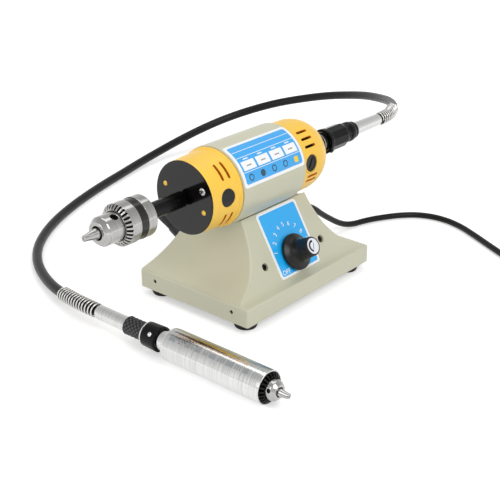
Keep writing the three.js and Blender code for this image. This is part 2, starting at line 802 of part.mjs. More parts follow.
// Motor case, caps, plate, plugs and label turn together by the small angle at which the motor lies in its saddle.
const motorCase = group(machine, 0, 0, AXIS_HEIGHT);
motorCase.rotation.x = -MOTOR_TURN;
const frontRim = MOTOR_FRONT - FRONT_CAP_LENGTH;
const rearEnd = MOTOR_REAR + REAR_CAP_LENGTH;
const plateBack = frontRim + FRONT_PLATE_THICKNESS + SEAT_GAP;
const bearingSeat = BEARING_RADIUS + SEAT_GAP;
const hubRadius = bearingSeat + WEB;
const shaftHole = clearBore(SHAFT_RADIUS, MEDIUM) + SEAT_GAP;

// A cutter that sweeps round the X axis between two angles measured up from the near side.
function sweptSlot(x, width, radius, start, sweep) {
  const steps = 2;
  const points = [[0, 0]];
  for (let i = 0; i <= steps; i++) {
    const turn = start + (sweep * i) / steps;
    points.push([-radius * Math.cos(turn), radius * Math.sin(turn)]);
  }
  const slice = extruded(points, width).rotateX(Math.PI / 2).rotateZ(Math.PI / 2);
  return slice.translate(x - width / 2, 0, 0);
}

function plugHoles(x) {
  const reach = 2 * MOTOR_RADIUS;
  return [bar(-reach, reach, PLUG_RADIUS + SEAT_GAP, MEDIUM).rotateZ(Math.PI / 2).translate(x, 0, 0)];
}

function frontCap() {
  const inner = FRONT_CAP_ROOT_RADIUS - CAP_WALL;
  const spigot = MOTOR_RADIUS - MOTOR_WALL - SEAT_GAP;
  const outline = [
    [frontRim, FRONT_PLATE_RADIUS + SEAT_GAP],
    [frontRim, FRONT_CAP_RADIUS],
    [MOTOR_FRONT - FLANGE_LENGTH - SEAT_GAP, FRONT_CAP_ROOT_RADIUS],
    [MOTOR_FRONT - FLANGE_LENGTH, FLANGE_RADIUS],
    [MOTOR_FRONT - SEAT_GAP, FLANGE_RADIUS],
    [MOTOR_FRONT - SEAT_GAP, spigot],
    [MOTOR_FRONT + FLANGE_LENGTH, spigot],
    [MOTOR_FRONT + FLANGE_LENGTH, inner],
    [plateBack + WEB, FRONT_CAP_RADIUS - CAP_WALL],
    [plateBack + WEB, hubRadius],
    [plateBack + WEB + BEARING_WIDTH, hubRadius],
    [plateBack + WEB + BEARING_WIDTH, bearingSeat],
    [plateBack + WEB, bearingSeat],
    [plateBack + WEB, shaftHole],
    [plateBack, shaftHole],
    [plateBack, FRONT_PLATE_RADIUS + SEAT_GAP],
  ];
  const shell = turned(outline, FINE);
  const cutters = [...plugHoles(FRONT_PLUG_X), ...plateScrewHoles()];
  const hub = bar(plateBack - OVERRUN, MOTOR_FRONT + OVERRUN, FRONT_CAP_RADIUS - 2 * CAP_WALL, MEDIUM);
  for (const x of [FRONT_PLUG_X - FRONT_SLOT_STEP / 8, FRONT_PLUG_X + FRONT_SLOT_STEP * 0.9]) {
    for (const half of [0, Math.PI]) {
      for (const sign of [-1, 1]) {
        const start = half + sign * FRONT_SLOT_START;
        const slot = sweptSlot(x, SLOT_WIDTH, MOTOR_RADIUS * 1.2, start, sign * FRONT_SLOT_SWEEP);
        cutters.push(cut(slot, hub));
      }
    }
  }
  return cut(shell, ...cutters);
}

// The rear cap's rounded outline: a quarter ellipse from the side to the end face.
function rearRound(inset) {
  const points = [];
  const steps = 4;
  for (let i = 0; i <= steps; i++) {
    const turn = ((i / steps) * Math.PI) / 2;
    const x = rearEnd - inset - REAR_CAP_ROUND + REAR_CAP_ROUND * Math.sin(turn);
    const fall = (REAR_CAP_RADIUS - REAR_CAP_END_RADIUS) * (1 - Math.cos(turn));
    points.push([x, REAR_CAP_RADIUS - inset - fall]);
  }
  return points;
}

function rearCap() {
  const spigot = MOTOR_RADIUS - MOTOR_WALL - SEAT_GAP;
  const seatFront = rearEnd - WEB - BEARING_WIDTH;
  const outline = [
    [MOTOR_REAR + SEAT_GAP, spigot],
    [MOTOR_REAR + SEAT_GAP, REAR_CAP_RADIUS],
    ...rearRound(0),
    [rearEnd, shaftHole],
    [rearEnd - WEB, shaftHole],
    [rearEnd - WEB, bearingSeat],
    [seatFront, bearingSeat],
    [seatFront, hubRadius],
    [rearEnd - CAP_WALL - WEB / 2, hubRadius],
    ...rearRound(CAP_WALL).slice(0, -1).reverse(),
    [MOTOR_REAR - FLANGE_LENGTH, REAR_CAP_RADIUS - CAP_WALL],
    [MOTOR_REAR - FLANGE_LENGTH, spigot],
  ];
  const shell = turned(outline, FINE);
  const cutters = plugHoles(BRUSH_X);
  const length = REAR_SLOT_LENGTH;
  for (const half of [0, Math.PI]) {
    for (const turn of [0, 1, 2, -1, -2].map((k) => rearSlotAngle(k))) {
      const slot = box(length, MOTOR_RADIUS, SLOT_WIDTH, REAR_SLOT_X + length / 2, -MOTOR_RADIUS, 0);
      cutters.push(slot.rotateX(-turn - half));
    }
  }
  return cut(shell, ...cutters);
}

// Three slots above the brush cap and two, closer together, below it.
function rearSlotAngle(place) {
  if (place >= 0) return REAR_SLOT_FIRST + place * REAR_SLOT_STEP;
  return -REAR_SLOT_LOWER_FIRST + (place + 1) * REAR_SLOT_LOWER_STEP;
}

// Clearance holes of the two screws that hold the plate to the cap's web.
function plateScrewHoles() {
  const reach = FRONT_PLATE_THICKNESS + SCREW_SHANK_LENGTH + OVERRUN;
  return [PLATE_SCREW_ANGLE, PLATE_SCREW_ANGLE + Math.PI].map((turn) => {
    const hole = bar(-OVERRUN, reach, SCREW_SHANK_RADIUS + SEAT_GAP, COARSE);
    return hole.translate(frontRim, -PLATE_SCREW_CIRCLE, 0).rotateX(-turn);
  });
}

function frontPlate() {
  const plate = sleeve(
    frontRim,
    frontRim + FRONT_PLATE_THICKNESS,
    FRONT_PLATE_RADIUS,
    shaftHole,
    FINE,
  );
  return cut(plate, ...plateScrewHoles());
}

function motorLabelSkin() {
  const from = MOTOR_RADIUS + SEAT_GAP;
  const to = from + LABEL_THICKNESS;
  const steps = 9;
  const ring = [];
  for (let i = 0; i <= steps; i++) {
    const turn = MOTOR_LABEL_START + (MOTOR_LABEL_SWEEP * i) / steps;
    ring.push([-from * Math.cos(turn), from * Math.sin(turn)]);
  }
  for (let i = steps; i >= 0; i--) {
    const turn = MOTOR_LABEL_START + (MOTOR_LABEL_SWEEP * i) / steps;
    ring.push([-to * Math.cos(turn), to * Math.sin(turn)]);
  }
  const length = MOTOR_REAR - MOTOR_FRONT - 2 * MOTOR_LABEL_MARGIN;
  const skin = extruded(ring, length).rotateX(Math.PI / 2).rotateZ(Math.PI / 2);
  return skin.translate(MOTOR_FRONT + MOTOR_LABEL_MARGIN, 0, 0);
}

// A screwed cap flush with the motor's side, with the tube that guides the brush behind it.
function brushCap(outside) {
  const top = outside - SEAT_GAP;
  const inner = COMMUTATOR_RADIUS + 2 * CAP_WALL;
  const bore = BRUSH_WIDTH * 0.75;
  const outline = [
    [inner, bore],
    [inner, BRUSH_TUBE_RADIUS],
    [top - PLUG_DEPTH, BRUSH_TUBE_RADIUS],
    [top - PLUG_DEPTH, PLUG_RADIUS],
    [top, PLUG_RADIUS],
    [top, 0],
    [top - PLUG_DEPTH / 2, 0],
    [top - PLUG_DEPTH / 2, bore],
  ];
  const cap = turned([...outline.slice(5), ...outline.slice(0, 6)], MEDIUM);
  const slot = box(SLOT_WIDTH / 2, PLUG_RADIUS, SLOT_WIDTH, top, 0, 0);
  return cut(cap, slot);
}

function sidePlug(outside) {
  return bar(outside - SEAT_GAP - PLUG_DEPTH, outside - SEAT_GAP, PLUG_RADIUS, MEDIUM);
}

// Turns a piece drawn along +X to point out of the near (-Y) or the far (+Y) side.
function toSide(geometry, side, x) {
  return geometry.rotateZ((side * Math.PI) / 2).translate(x, 0, 0);
}

function buildMotorCase() {
  const bore = MOTOR_RADIUS - MOTOR_WALL;
  const housing = sleeve(MOTOR_FRONT, MOTOR_REAR, MOTOR_RADIUS, bore, FINE);
  add(motorCase, "motor_housing", housing, BEIGE_ENAMEL);
  add(motorCase, "motor_label", motorLabelSkin(), BLUE_PRINT);
  add(motorCase, "front_cap", frontCap(), YELLOW_ABS);
  add(motorCase, "rear_cap", rearCap(), YELLOW_ABS);
  add(motorCase, "front_plate", frontPlate(), BLACK_GLOSS);
  const frontPlugTop = (FRONT_CAP_RADIUS + FRONT_CAP_ROOT_RADIUS) / 2;
  for (const [word, side] of [["near", -1], ["far", 1]]) {
    add(motorCase, `cap_plug_${word}`, toSide(sidePlug(frontPlugTop), side, FRONT_PLUG_X), BLACK_PLASTIC);
    add(motorCase, `brush_cap_${word}`, toSide(brushCap(REAR_CAP_RADIUS), side, BRUSH_X), BLACK_PLASTIC);
    const brushFrom = COMMUTATOR_RADIUS + AIR_GAP / 2;
    const brush = box(BRUSH_LENGTH, BRUSH_WIDTH, BRUSH_WIDTH, brushFrom + BRUSH_LENGTH / 2, 0, 0);
    add(motorCase, `carbon_brush_${word}`, toSide(brush, side, BRUSH_X), CARBON);
  }
  for (const [name, turn] of [["plate_screw_upper", 0], ["plate_screw_lower", Math.PI]]) {
    const made = screw(PLATE_SCREW_RADIUS).rotateY(-Math.PI / 2);
    made.translate(frontRim - SCREW_HEAD - SEAT_GAP / 2, -PLATE_SCREW_CIRCLE, 0);
    add(motorCase, name, made.rotateX(-turn - PLATE_SCREW_ANGLE), BRIGHT_STEEL);
  }
}

// Everything on the motor shaft. It turns in two bearings.
const rotor = group(machine, 0, 0, AXIS_HEIGHT);

function stator() {
  const from = ARMATURE_X;
  const to = ARMATURE_X + ARMATURE_LENGTH;
  const outer = MOTOR_RADIUS - MOTOR_WALL - SEAT_GAP;
  const bore = ARMATURE_RADIUS + AIR_GAP;
  const coil = (outer + bore) / 2 + WINDING_LENGTH / 2;
  const outline = [
    [from - WINDING_LENGTH, bore + AIR_GAP],
    [from - WINDING_LENGTH, coil],
    [from, coil],
    [from, outer],
    [to, outer],
    [to, coil],
    [to + WINDING_LENGTH, coil],
    [to + WINDING_LENGTH, bore + AIR_GAP],
    [to, bore],
    [from, bore],
  ];
  return turned(outline, FINE);
}

function armature() {
  const bore = SHAFT_RADIUS + SEAT_GAP;
  const end = (ARMATURE_RADIUS + SHAFT_RADIUS) / 2 + AIR_GAP;
  const from = ARMATURE_X;
  const to = ARMATURE_X + ARMATURE_LENGTH;
  const outline = [
    [from - WINDING_LENGTH / 2, bore],
    [from - WINDING_LENGTH / 2, end],
    [from, ARMATURE_RADIUS],
    [to, ARMATURE_RADIUS],
    [to + WINDING_LENGTH / 2, end],
    [to + WINDING_LENGTH / 2, bore],
  ];
  return turned(outline, MEDIUM);
}

function coolingFan() {
  const back = ARMATURE_X - WINDING_LENGTH - AIR_GAP;
  const bore = SHAFT_RADIUS + SEAT_GAP;
  const disc = sleeve(back - FAN_DISC, back, FAN_RADIUS, bore, MEDIUM);
  const hub = sleeve(back - FAN_DISC - FAN_BLADE, back, FAN_HUB_RADIUS, bore, MEDIUM);
  const blades = [];
  const length = FAN_RADIUS - FAN_HUB_RADIUS;
  for (let i = 0; i < FAN_BLADES; i++) {
    const middle = FAN_HUB_RADIUS + length / 2 - FAN_DISC / 2;
    const blade = box(FAN_BLADE + FAN_DISC, FAN_BLADE_THICKNESS, length, 0, 0, middle);
    blade.translate(back - FAN_DISC - FAN_BLADE / 2 + FAN_DISC / 2, 0, 0);
    blades.push(blade.rotateX((i / FAN_BLADES) * 2 * Math.PI));
  }
  return join(disc, hub, ...blades);
}

function bearing(x) {
  const bore = clearBore(SHAFT_RADIUS, MEDIUM);
  return sleeve(x, x + BEARING_WIDTH - SEAT_GAP, BEARING_RADIUS, bore, MEDIUM);
}

function spindleRod() {
  const front = CHUCK_REAR - SEAT_GAP;
  const bore = SHAFT_RADIUS + SEAT_GAP;
  const blind = SHAFT_FRONT - SEAT_GAP;
  const outline = [
    [blind, 0],
    [blind, bore],
    [ROD_REAR, bore],
    [ROD_REAR, ROD_RADIUS - ROD_CHAMFER],
    [ROD_REAR - ROD_CHAMFER, ROD_RADIUS],
    [front + SEAT_GAP * 2, ROD_RADIUS],
    [front + SEAT_GAP * 2, ROD_STUB_RADIUS],
    [front - ROD_STUB_LENGTH + SEAT_GAP, ROD_STUB_RADIUS],
    [front - ROD_STUB_LENGTH + SEAT_GAP, 0],
  ];
  return turned(outline, MEDIUM);
}

function buildRotor() {
  add(motorCase, "stator_core", stator(), DARK_IRON);
  add(rotor, "motor_shaft", bar(SHAFT_FRONT, SHAFT_REAR, SHAFT_RADIUS, MEDIUM), BRIGHT_STEEL);
  add(rotor, "armature", armature(), COPPER);
  const commutatorFrom = BRUSH_X - COMMUTATOR_LENGTH / 2;
  const commutatorTo = BRUSH_X + COMMUTATOR_LENGTH / 2;
  const commutator = sleeve(
    commutatorFrom,
    commutatorTo,
    COMMUTATOR_RADIUS,
    SHAFT_RADIUS + SEAT_GAP,
    MEDIUM,
  );
  add(rotor, "commutator", commutator, COPPER);
  add(rotor, "cooling_fan", coolingFan(), BLACK_PLASTIC);
  const frontBearing = add(machine, "front_bearing", bearing(plateBack + WEB + SEAT_GAP), BRIGHT_STEEL);
  frontBearing.position.z = AXIS_HEIGHT;
  const rearBearing = bearing(rearEnd - WEB - BEARING_WIDTH);
  add(machine, "rear_bearing", rearBearing, BRIGHT_STEEL).position.z = AXIS_HEIGHT;
  add(rotor, "spindle_rod", spindleRod(), BLACK_STEEL);
}

// A jaw's own line: it leaves the chuck's axis near the tip and opens out towards the rear.
function onJawLine(size, geometry, turn) {
  return geometry.translate(size.tip, size.jawOffset, 0).rotateX(turn);
}

function jawTurn(size, index) {
  return (index / 3) * 2 * Math.PI + size.jawStart;
}

function chuckBody(size, rear) {
  const outline = [
    [rear, 0],
    [rear, size.bodyRadius],
    [size.bodyFront, size.bodyRadius],
    [size.faceFront, size.faceRadius],
    [size.faceFront, 0],
  ];
  const cutters = [];
  for (let i = 0; i < 3; i++) {
    const length = size.jawLength + size.jawTravel + 2 * RUN_GAP;
    const radius = clearBore(size.jawRadius, COARSE);
    const channel = bar(-length, OVERRUN, radius, COARSE).rotateZ(-size.jawTilt);
    cutters.push(onJawLine(size, channel, jawTurn(size, i)));
    const reach = size.bodyRadius + OVERRUN;
    const key = bar(size.bodyRadius - size.keyDepth, reach, size.keyRadius, COARSE);
    key.rotateZ(Math.PI / 2).translate(size.keyX, 0, 0);
    cutters.push(key.rotateX(jawTurn(size, i) + Math.PI / 3));
  }
  const throat = size.jawRadius + size.jawOffset;
  cutters.push(bar(size.tip - size.jawLength - size.jawTravel, size.tip, throat / 2, COARSE));
  if (size.rearBore > 0) {
    const bore = size.rearBore + SEAT_GAP;
    cutters.push(bar(-OVERRUN, size.rearBoreDepth + 2 * SEAT_GAP, bore, COARSE));
  }
  return cut(turned(outline, MEDIUM), ...cutters);
}

// The sleeve's ring, with bevel teeth on its front cone.
function chuckSleeve(size) {
  const bore = clearBore(size.bodyRadius, MEDIUM) + SEAT_GAP;
  const outside = bore + size.sleeveWall;
  const front = size.sleeveLength + size.bevelLength;
  const inner = bore + size.toothDepth;
  const profile = (tooth) => [
    [0, bore],
    [0, outside],
    [size.sleeveLength - tooth * size.toothDepth, outside],
    [front - tooth * size.toothDepth, inner],
    [front - size.toothDepth, bore],
  ];
  const steps = size.teeth * 2;
  const position = [];
  for (let i = 0; i < steps; i++) {
    const turn = (i / steps) * 2 * Math.PI;
    for (const [x, radius] of profile(i % 2)) {
      position.push(x, radius * Math.cos(turn), radius * Math.sin(turn));
    }
  }
  const rows = profile(0).length;
  const index = [];
  for (let i = 0; i < steps; i++) {
    for (let k = 0; k < rows; k++) {
      const a = i * rows + k;
      const b = i * rows + ((k + 1) % rows);
      const c = ((i + 1) % steps) * rows + k;
      const d = ((i + 1) % steps) * rows + ((k + 1) % rows);
      index.push(a, b, c, b, d, c);
    }
  }
  const geometry = new THREE.BufferGeometry();
  geometry.setAttribute("position", new THREE.Float32BufferAttribute(position, 3));
  geometry.setIndex(index);
  return outward(geometry);
}

function chuckJaw(size, index) {
  const pin = bar(-size.jawLength, size.jawLength / 4, size.jawRadius, COARSE).rotateZ(-size.jawTilt);
  pin.translate(size.tip, size.jawOffset, 0);
  const reach = 2 * size.jawLength;
  const wedge = [
    [SEAT_GAP / 2, 0],
    [reach, reach * Math.tan(Math.PI / 3)],
    [reach, -reach * Math.tan(Math.PI / 3)],
  ];
  const sector = extruded(wedge, reach).rotateX(Math.PI / 2).rotateZ(Math.PI / 2);
  sector.translate(size.tip - reach, 0, 0);
  const cone = turned(
    [
      [size.tip - reach, 0],
      [size.tip - reach, reach],
      [size.tip - size.coneRise * 3, size.tipRadius + size.coneRise + size.jawRadius],
      [size.tip - size.coneRise, size.tipRadius + size.coneRise / 3],
      [size.tip, size.tipRadius],
      [size.tip, 0],
    ],
    MEDIUM,
  );
  return common(pin, sector, cone).rotateX(jawTurn(size, index));
}

function buildMainChuck() {
  const frame = group(rotor, CHUCK_REAR, 0, 0);
  frame.rotation.z = Math.PI;
  add(frame, "chuck_body", chuckBody(MAIN_CHUCK, 0), BRIGHT_STEEL);
  add(frame, "chuck_sleeve", chuckSleeve(MAIN_CHUCK), BRIGHT_STEEL);
  for (let i = 0; i < 3; i++) {
    add(frame, `chuck_jaw_${i + 1}`, chuckJaw(MAIN_CHUCK, i), BRIGHT_STEEL);
  }
}

// The fixed nose on the rear cap, the coupling over it, and the ferrule of the flexible shaft.
function buildCoupling() {
  const axis = group(machine, 0, 0, AXIS_HEIGHT);
  const bore = clearBore(SHAFT_RADIUS, MEDIUM);
  const noseFrom = rearEnd + SEAT_GAP;
  const nose = turned(
    [
      [noseFrom, bore],
      [noseFrom, NOSE_RADIUS + NOSE_LIP],
      [noseFrom + NOSE_LIP, NOSE_RADIUS + NOSE_LIP],
      [noseFrom + NOSE_LIP, NOSE_RADIUS],
      [NOSE_END, NOSE_RADIUS],
      [NOSE_END, bore],
    ],
    MEDIUM,
  );
  add(axis, "shaft_nose", nose, BLACK_STEEL);
  const front = COUPLING_FRONT;
  const rear = COUPLING_FRONT + COUPLING_LENGTH;
  const bodyEnd = front + COUPLING_RING + COUPLING_BODY_LENGTH;
  const round = turned(
    [
      [front, 0],
      [front, COUPLING_RADIUS],
      [front + COUPLING_RING, COUPLING_RADIUS],
      [front + COUPLING_RING, COUPLING_TAIL_RADIUS],
      [rear, COUPLING_TAIL_RADIUS],
      [rear, 0],
    ],
    MEDIUM,
  );
  const flats = turned(
    [
      [front + COUPLING_RING / 2, 0],
      [front + COUPLING_RING / 2, COUPLING_BODY_RADIUS],
      [bodyEnd - COUPLING_RING, COUPLING_BODY_RADIUS],
      [bodyEnd, COUPLING_TAIL_RADIUS],
      [bodyEnd, 0],
    ],
    COUPLING_SIDES,
  );
  const noseBore = bar(front - OVERRUN, NOSE_END + SEAT_GAP, NOSE_RADIUS + SEAT_GAP, MEDIUM);
  const stemFrom = rear - FERRULE_STEM_LENGTH;
  const stemBore = bar(NOSE_END, rear + OVERRUN, CORE_BORE_RADIUS, COARSE);
  const seat = bar(stemFrom - SEAT_GAP, rear + OVERRUN, FERRULE_STEM_RADIUS + SEAT_GAP, MEDIUM);
  add(axis, "coupling_body", cut(join(round, flats), noseBore, stemBore, seat), BLACK_PLASTIC);
  const ferrule = turned(
    [
      [stemFrom, CORE_BORE_RADIUS],
      [stemFrom, FERRULE_STEM_RADIUS],
      [rear + SEAT_GAP, FERRULE_STEM_RADIUS],
      [rear + SEAT_GAP, FERRULE_RADIUS],
      [FERRULE_END, FERRULE_TIP_RADIUS],
      [FERRULE_END, CORE_BORE_RADIUS],
    ],
    MEDIUM,
  );
  add(axis, "shaft_ferrule", ferrule, ALUMINIUM);
}

const vector = ([x, y, z]) => new THREE.Vector3(x, y, z);

// Points of a helix wound round the sheath's own route, from one distance along it to another.
function guardPoints(curve, from, to, clockwise) {
  const length = curve.getLength();
  const winding = (SHEATH_DIAMETER + GUARD_WIRE) / 2 + GUARD_GAP;
  const steps = GUARD_CURLS * GUARD_STEPS;
  const points = [];
  let normal = new THREE.Vector3(0, 0, 1);
  for (let i = 0; i <= steps; i++) {
    const share = (from + ((to - from) * i) / steps) / length;
    const at = curve.getPointAt(share);
    const along = curve.getTangentAt(share);
    normal = normal.clone().addScaledVector(along, -normal.dot(along)).normalize();
    const across = along.clone().cross(normal);
    const turn = (clockwise * (i / GUARD_STEPS)) * 2 * Math.PI;
    points.push(
      at
        .addScaledVector(normal, winding * Math.cos(turn))
        .addScaledVector(across, winding * Math.sin(turn)),
    );
  }
  const first = points[0].clone().sub(points[1]).setLength(GUARD_WIRE);
  const last = points[steps].clone().sub(points[steps - 1]).setLength(GUARD_WIRE);
  return [points[0].clone().add(first), ...points, points[steps].clone().add(last)];
}

function buildSheath() {
  const route = SHEATH_ROUTE.map(vector);
  const curve = new THREE.CatmullRomCurve3(route, false, "centripetal");
  curve.arcLengthDivisions = 1000;
  const length = curve.getLength();
  add(machine, "flex_sheath", tube(route, SHEATH_DIAMETER, SHEATH_SIDES), SHEATH_RUBBER);
  const guardLength = GUARD_CURLS * GUARD_PITCH;
  const wireRadius = GUARD_WIRE / 2;
  const start = wireRadius + SEAT_GAP;
  const upper = guardPoints(curve, start, start + guardLength, 1);
  const lower = guardPoints(curve, length - start - guardLength, length - start, 1);
  add(machine, "upper_spring_guard", woundTube(upper, wireRadius, GUARD_SIDES), BRIGHT_STEEL);
  add(machine, "lower_spring_guard", woundTube(lower, wireRadius, GUARD_SIDES), BRIGHT_STEEL);
  for (const [name, points] of [["upper", upper], ["lower", lower]]) {
    const gap = leastGap(points, GUARD_WIRE, GUARD_STEPS).toFixed(2);
    console.log(`${name} spring guard: least gap to itself ${gap} mm`);
  }
  console.log(`flexible sheath: ${length.toFixed(0)} mm along its middle`);
}

// The handpiece and its quick connector, drawn along +X towards the tool from the front rim. The connector's
// ferrule starts at the end of the flexible shaft, and everything else follows from it.
function buildHandpiece() {
  const rear = -HANDPIECE_LENGTH;
  const ferruleTo = rear - SPIGOT_LENGTH - 2 * SEAT_GAP;
  const ferruleFrom = ferruleTo - TOOL_FERRULE_LENGTH;
  const sheathEndY = SHEATH_ROUTE[SHEATH_ROUTE.length - 1][1];
  const rimY = sheathEndY - SEAT_GAP + ferruleFrom;
  const frame = group(machine, HANDPIECE_X, rimY, HANDPIECE_RADIUS);
  frame.rotation.z = -Math.PI / 2;
  const bore = HANDPIECE_RADIUS - HANDPIECE_WALL;
  const spindleBore = clearBore(SPINDLE_RADIUS, MEDIUM);
  const frontLand = -HAND_CHUCK_SINK - 2 * LAND_LENGTH;
  const rearLand = rear + 2 * LAND_LENGTH;
  const shell = turned(
    [
      [rear - SPIGOT_LENGTH, spindleBore],
      [rear - SPIGOT_LENGTH, SPIGOT_RADIUS],
      [rear, SPIGOT_RADIUS],
      [rear, HANDPIECE_RADIUS - HANDPIECE_ROUND],
      [rear + HANDPIECE_ROUND / 3, HANDPIECE_RADIUS - HANDPIECE_ROUND / 3],
      [rear + HANDPIECE_ROUND, HANDPIECE_RADIUS],
      [0, HANDPIECE_RADIUS],
      [0, bore],
      [frontLand + LAND_LENGTH, bore],
      [frontLand + LAND_LENGTH, spindleBore],
      [frontLand, spindleBore],
      [frontLand, bore],
      [rearLand, bore],
      [rearLand, spindleBore],
    ],
    MEDIUM,
  );
  add(frame, "handpiece_tube", shell, ALUMINIUM);

  const chuckFrame = group(frame, -HAND_CHUCK_SINK + SEAT_GAP, 0, 0);
  addHandChuck(chuckFrame, rear - SPIGOT_LENGTH / 2);

  const collarEnd = rear - COLLAR_GAP;
  const collarStart = collarEnd - COLLAR_LENGTH;
  const collar = turned(
    [
      [collarStart, TOOL_FERRULE_RADIUS + SEAT_GAP],
      [collarStart, COLLAR_RADIUS],
      [collarEnd, COLLAR_MOUTH_RADIUS],
      [collarEnd, SPIGOT_RADIUS + SEAT_GAP],
      [ferruleTo + SEAT_GAP, SPIGOT_RADIUS + SEAT_GAP],
      [ferruleTo + SEAT_GAP, TOOL_FERRULE_RADIUS + SEAT_GAP],
    ],
    MEDIUM,
  );
  add(frame, "connector_collar", collar, BLACK_PLASTIC);
  const sleeveTo = collarStart - SEAT_GAP;
  const sleeveBore = clearBore(TOOL_FERRULE_RADIUS, MEDIUM);
  const grip = sleeve(sleeveTo - SLEEVE_LENGTH, sleeveTo, SLEEVE_RADIUS, sleeveBore, MEDIUM);
  add(frame, "connector_sleeve", grip, BLACK_PLASTIC);
  const ferrule = sleeve(ferruleFrom, ferruleTo, TOOL_FERRULE_RADIUS, CORE_BORE_RADIUS, MEDIUM);
  add(frame, "tool_ferrule", ferrule, ALUMINIUM);
}

// The handpiece chuck sits on the end of the spindle, so its body and the spindle are one piece.
function addHandChuck(frame, spindleEnd) {
  const size = HAND_CHUCK;
  const nose = chuckBody(size, SEAT_GAP);
  const from = spindleEnd - frame.position.x;
  const spindle = bar(from, size.jawRadius, SPINDLE_RADIUS, MEDIUM);
  add(frame, "handpiece_spindle", join(nose, spindle), BRIGHT_STEEL);
  add(frame, "handpiece_ring", chuckSleeve(size), BLACK_STEEL);
  for (let i = 0; i < 3; i++) {
    add(frame, `handpiece_jaw_${i + 1}`, chuckJaw(size, i), BRIGHT_STEEL);
  }
}

// Strain relief: a stem held in the flank and a tapered sleeve along the cord's first stretch.
function strainRelief() {
  return turned(
    [
      [0, 0],
      [0, RELIEF_RADIUS],
      [RELIEF_STEM, RELIEF_RADIUS],
      [RELIEF_LENGTH, RELIEF_TIP_RADIUS],
      [RELIEF_LENGTH, 0],
    ],
    MEDIUM,
  );
}

// The coil's middle line: in along the lower layer, up in the half turn where it reverses, out along the upper
// layer, then down a short straight tail to the plug. It starts at the cord's end and keeps its heading.
function coilPoints() {
  const end = vector(CORD_ROUTE[CORD_ROUTE.length - 1]);
  const outer = COIL_INNER_RADIUS + COIL_LAYER_TURNS * COIL_PITCH;
  const heading = end.clone().sub(vector(CORD_ROUTE[CORD_ROUTE.length - 2])).normalize();
  const lead = CORD_DIAMETER;
  const start = end.clone().addScaledVector(heading, SEAT_GAP);
  const entry = start.clone().addScaledVector(heading, lead);
  const side = new THREE.Vector3(-heading.y, heading.x, 0);
  const centre = entry.clone().addScaledVector(side, outer);
  const first = Math.atan2(entry.y - centre.y, entry.x - centre.x);
  const points = [start];
  const layerTurns = COIL_LAYER_TURNS;
  const total = 2 * layerTurns + 0.5;
  const steps = Math.round(total * COIL_LOOP_STEPS);
  for (let i = 0; i <= steps; i++) {
    const turns = i / COIL_LOOP_STEPS;
    const climb = THREE.MathUtils.clamp((turns - layerTurns) / 0.5, 0, 1);
    const reversal = climb * (1 - climb) * 0.5;
    const inward = Math.min(turns, layerTurns) - Math.max(turns - layerTurns - 0.5, 0) + reversal;
    const radius = outer - inward * COIL_PITCH;
    const turn = first + turns * 2 * Math.PI;
    points.push(
      new THREE.Vector3(
        centre.x + radius * Math.cos(turn),
        centre.y + radius * Math.sin(turn),
        entry.z + climb * COIL_PITCH,
      ),
    );
  }
  const last = points[points.length - 1];
  const leave = last.clone().sub(points[points.length - 2]).setZ(0).normalize();
  const rest = PLUG_BODY_HEIGHT / 2 + SEAT_GAP;
  const fall = rest - last.z;
  for (let i = 1; i <= COIL_TAIL_STEPS; i++) {
    const share = i / COIL_TAIL_STEPS;
    const point = last.clone().addScaledVector(leave, COIL_TAIL * share);
    point.z += fall * THREE.MathUtils.smoothstep(share, 0.4, 0.9);
    points.push(point);
  }
  return points;
}

function plugBody() {
  const waist = CORD_DIAMETER * 0.8;
  const block = new THREE.Shape();
  const half = PLUG_BODY_WIDTH / 2;
  block.moveTo(0, -waist);
  block.lineTo(PLUG_BODY_LENGTH / 2, -half);
  block.lineTo(PLUG_BODY_LENGTH, -half);
  block.lineTo(PLUG_BODY_LENGTH, half);
  block.lineTo(PLUG_BODY_LENGTH / 2, half);
  block.lineTo(0, waist);
  const body = new THREE.ExtrudeGeometry(block, { depth: PLUG_BODY_HEIGHT, bevelEnabled: false });
  body.translate(0, 0, -PLUG_BODY_HEIGHT / 2);
  const pins = [-1, 1].map((side) =>
    bar(PLUG_BODY_LENGTH / 2, PLUG_BODY_LENGTH + PIN_LENGTH, PIN_RADIUS, COARSE).translate(
      0,
      (side * PIN_SPREAD) / 2,
      0,
    ),
  );
  return join(body, ...pins);
}

function buildCord() {
  add(reliefFrame, "strain_relief", strainRelief(), BLACK_RUBBER);
  const route = CORD_ROUTE.map(vector);
  add(machine, "power_cord", tube(route, CORD_DIAMETER, CORD_SIDES), BLACK_RUBBER);
  const coil = coilPoints();
  add(machine, "power_cord_coil", woundTube(coil, CORD_DIAMETER / 2, COIL_SIDES), BLACK_RUBBER);
  const tail = coil[coil.length - 1];
  const leave = tail.clone().sub(coil[coil.length - 2]).normalize();
  const plug = add(machine, "plug_body", plugBody(), BLACK_PLASTIC);
  plug.position.copy(tail).addScaledVector(leave, SEAT_GAP);
  plug.rotation.z = Math.atan2(leave.y, leave.x);
  const gap = leastGap(coil, CORD_DIAMETER, COIL_LOOP_STEPS).toFixed(2);
  const free = new THREE.CatmullRomCurve3(route, false, "centripetal").getLength();
  const wound = coil.slice(1).reduce((sum, point, i) => sum + point.distanceTo(coil[i]), 0);
  console.log(`cord coil: least gap to itself ${gap} mm`);
  console.log(`power cord: ${free.toFixed(0)} mm free and ${wound.toFixed(0)} mm in the coil`);
}

buildPedestal();
buildSpeedControl();
buildFuse();
buildMotorCase();
buildRotor();
buildMainChuck();
buildCoupling();
buildSheath();
buildHandpiece();
buildCord();

